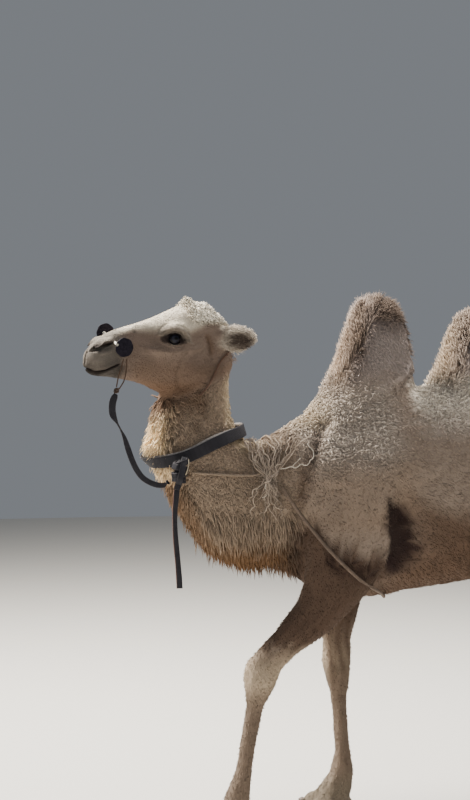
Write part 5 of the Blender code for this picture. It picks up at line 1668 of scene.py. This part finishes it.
# nails: the CAD ones, rounder, in one piece
def makeNails():
    names = [name for name in nodes if "_nail_" in name]
    piece = mergedCopy(names, "toeNails")
    fuse = piece.modifiers.new("fuse", "REMESH")
    fuse.mode, fuse.voxel_size = "VOXEL", 0.0028
    soft = piece.modifiers.new("soft", "SMOOTH")
    soft.factor, soft.iterations = 0.5, 6
    slim = piece.modifiers.new("slim", "DECIMATE")
    slim.ratio = 0.45
    settled(piece)
    dressed(piece, hornNail, "horn_nail", *names)


makeNails()


# matted locks of moulted hair, caught together on the side of the neck
def makeTangle():
    settings = {"locks": 58, "seed": 61}
    chance = np.random.default_rng(settings["seed"])
    tie = np.array((-0.499, -0.160, 1.368))
    tops = [(-0.575, -0.080, 1.500), (-0.545, -0.065, 1.512), (-0.500, -0.070, 1.520),
            (-0.460, -0.080, 1.520), (-0.420, -0.095, 1.520), (-0.380, -0.125, 1.512)]
    feet = [(-0.590, -0.150, 1.290), (-0.565, -0.150, 1.225), (-0.530, -0.155, 1.215),
            (-0.500, -0.155, 1.225), (-0.465, -0.158, 1.215), (-0.425, -0.168, 1.250)]

    def strewn(place, reach):
        return np.array(place) + chance.normal(0, reach, 3)

    shape = newShape()
    for _ in range(settings["locks"]):
        top = strewn(tops[chance.integers(len(tops))], 0.014)
        foot = strewn(feet[chance.integers(len(feet))], 0.016)
        heart = strewn(tie, 0.010)
        kind = chance.random()
        if kind < 0.45:
            route = [top, strewn((top + heart) / 2, 0.018), heart, strewn((heart + foot) / 2, 0.014)]
        elif kind < 0.75:
            route = [heart, strewn((heart + foot) / 2, 0.018), foot]
        else:
            side = strewn(top, 0.03)
            route = [top, strewn((top * 2 + heart) / 3, 0.012), (side + heart * 2) / 3, strewn(heart, 0.02)]
        path = rounded([tuple(p + offset) for p in route], 0.009)
        t = np.linspace(0, 1, len(path))
        curl = chance.uniform(0.003, 0.008)
        turns, phase = chance.uniform(2.5, 6.0), chance.uniform(0, 6.28)
        path[:, 0] += curl * np.sin(2 * math.pi * turns * t + phase)
        path[:, 2] += curl * 0.8 * np.cos(2 * math.pi * turns * 0.8 * t + phase)
        path = overFlesh(path, chance.uniform(0.008, 0.018) + 0.004 * np.sin(9 * t + phase))
        wide = chance.uniform(0.0028, 0.0058) * (1.0 - 0.6 * ramp(t, 0.6, 1.0))
        wide *= 1 + 0.18 * np.sin(31 * t + phase)
        tone = np.array(linear(196, 178, 160)) * chance.uniform(0.40, 1.10)
        tone = tone * (0.75 + 0.35 * np.sin(6 * t + phase) ** 2)[:, None]
        sweep(shape, path, wide, wide * 0.8, tone, None, 6)
    return finished("mattedLocks", shape, tuftFur, "neck_coat")


makeTangle()


# a pale string caught in the locks
def makeString():
    shape = newShape()
    routes = [
        ([(-0.498, -0.158, 1.375), (-0.470, -0.160, 1.396), (-0.439, -0.161, 1.409), (-0.412, -0.170, 1.412),
          (-0.384, -0.175, 1.420), (-0.360, -0.180, 1.424), (-0.338, -0.178, 1.440), (-0.330, -0.177, 1.463),
          (-0.338, -0.164, 1.487), (-0.349, -0.156, 1.497)], 0.0034),
        ([(-0.412, -0.170, 1.412), (-0.396, -0.172, 1.436), (-0.380, -0.170, 1.446)], 0.0026),
        ([(-0.500, -0.158, 1.372), (-0.520, -0.158, 1.345), (-0.512, -0.158, 1.318),
          (-0.530, -0.158, 1.300)], 0.0028),
    ]
    for route, wide in routes:
        path = rounded(placed(route), 0.006)
        t = np.arange(len(path))
        path[:, 2] += 0.003 * np.sin(t * 0.9)
        path = overFlesh(path, 0.013)
        sweep(shape, path, wide, wide, linear(222, 212, 196), None, 7)
    return finished("paleString", shape, rope, "brown_cord")


makeString()
print("nails, locks and string")
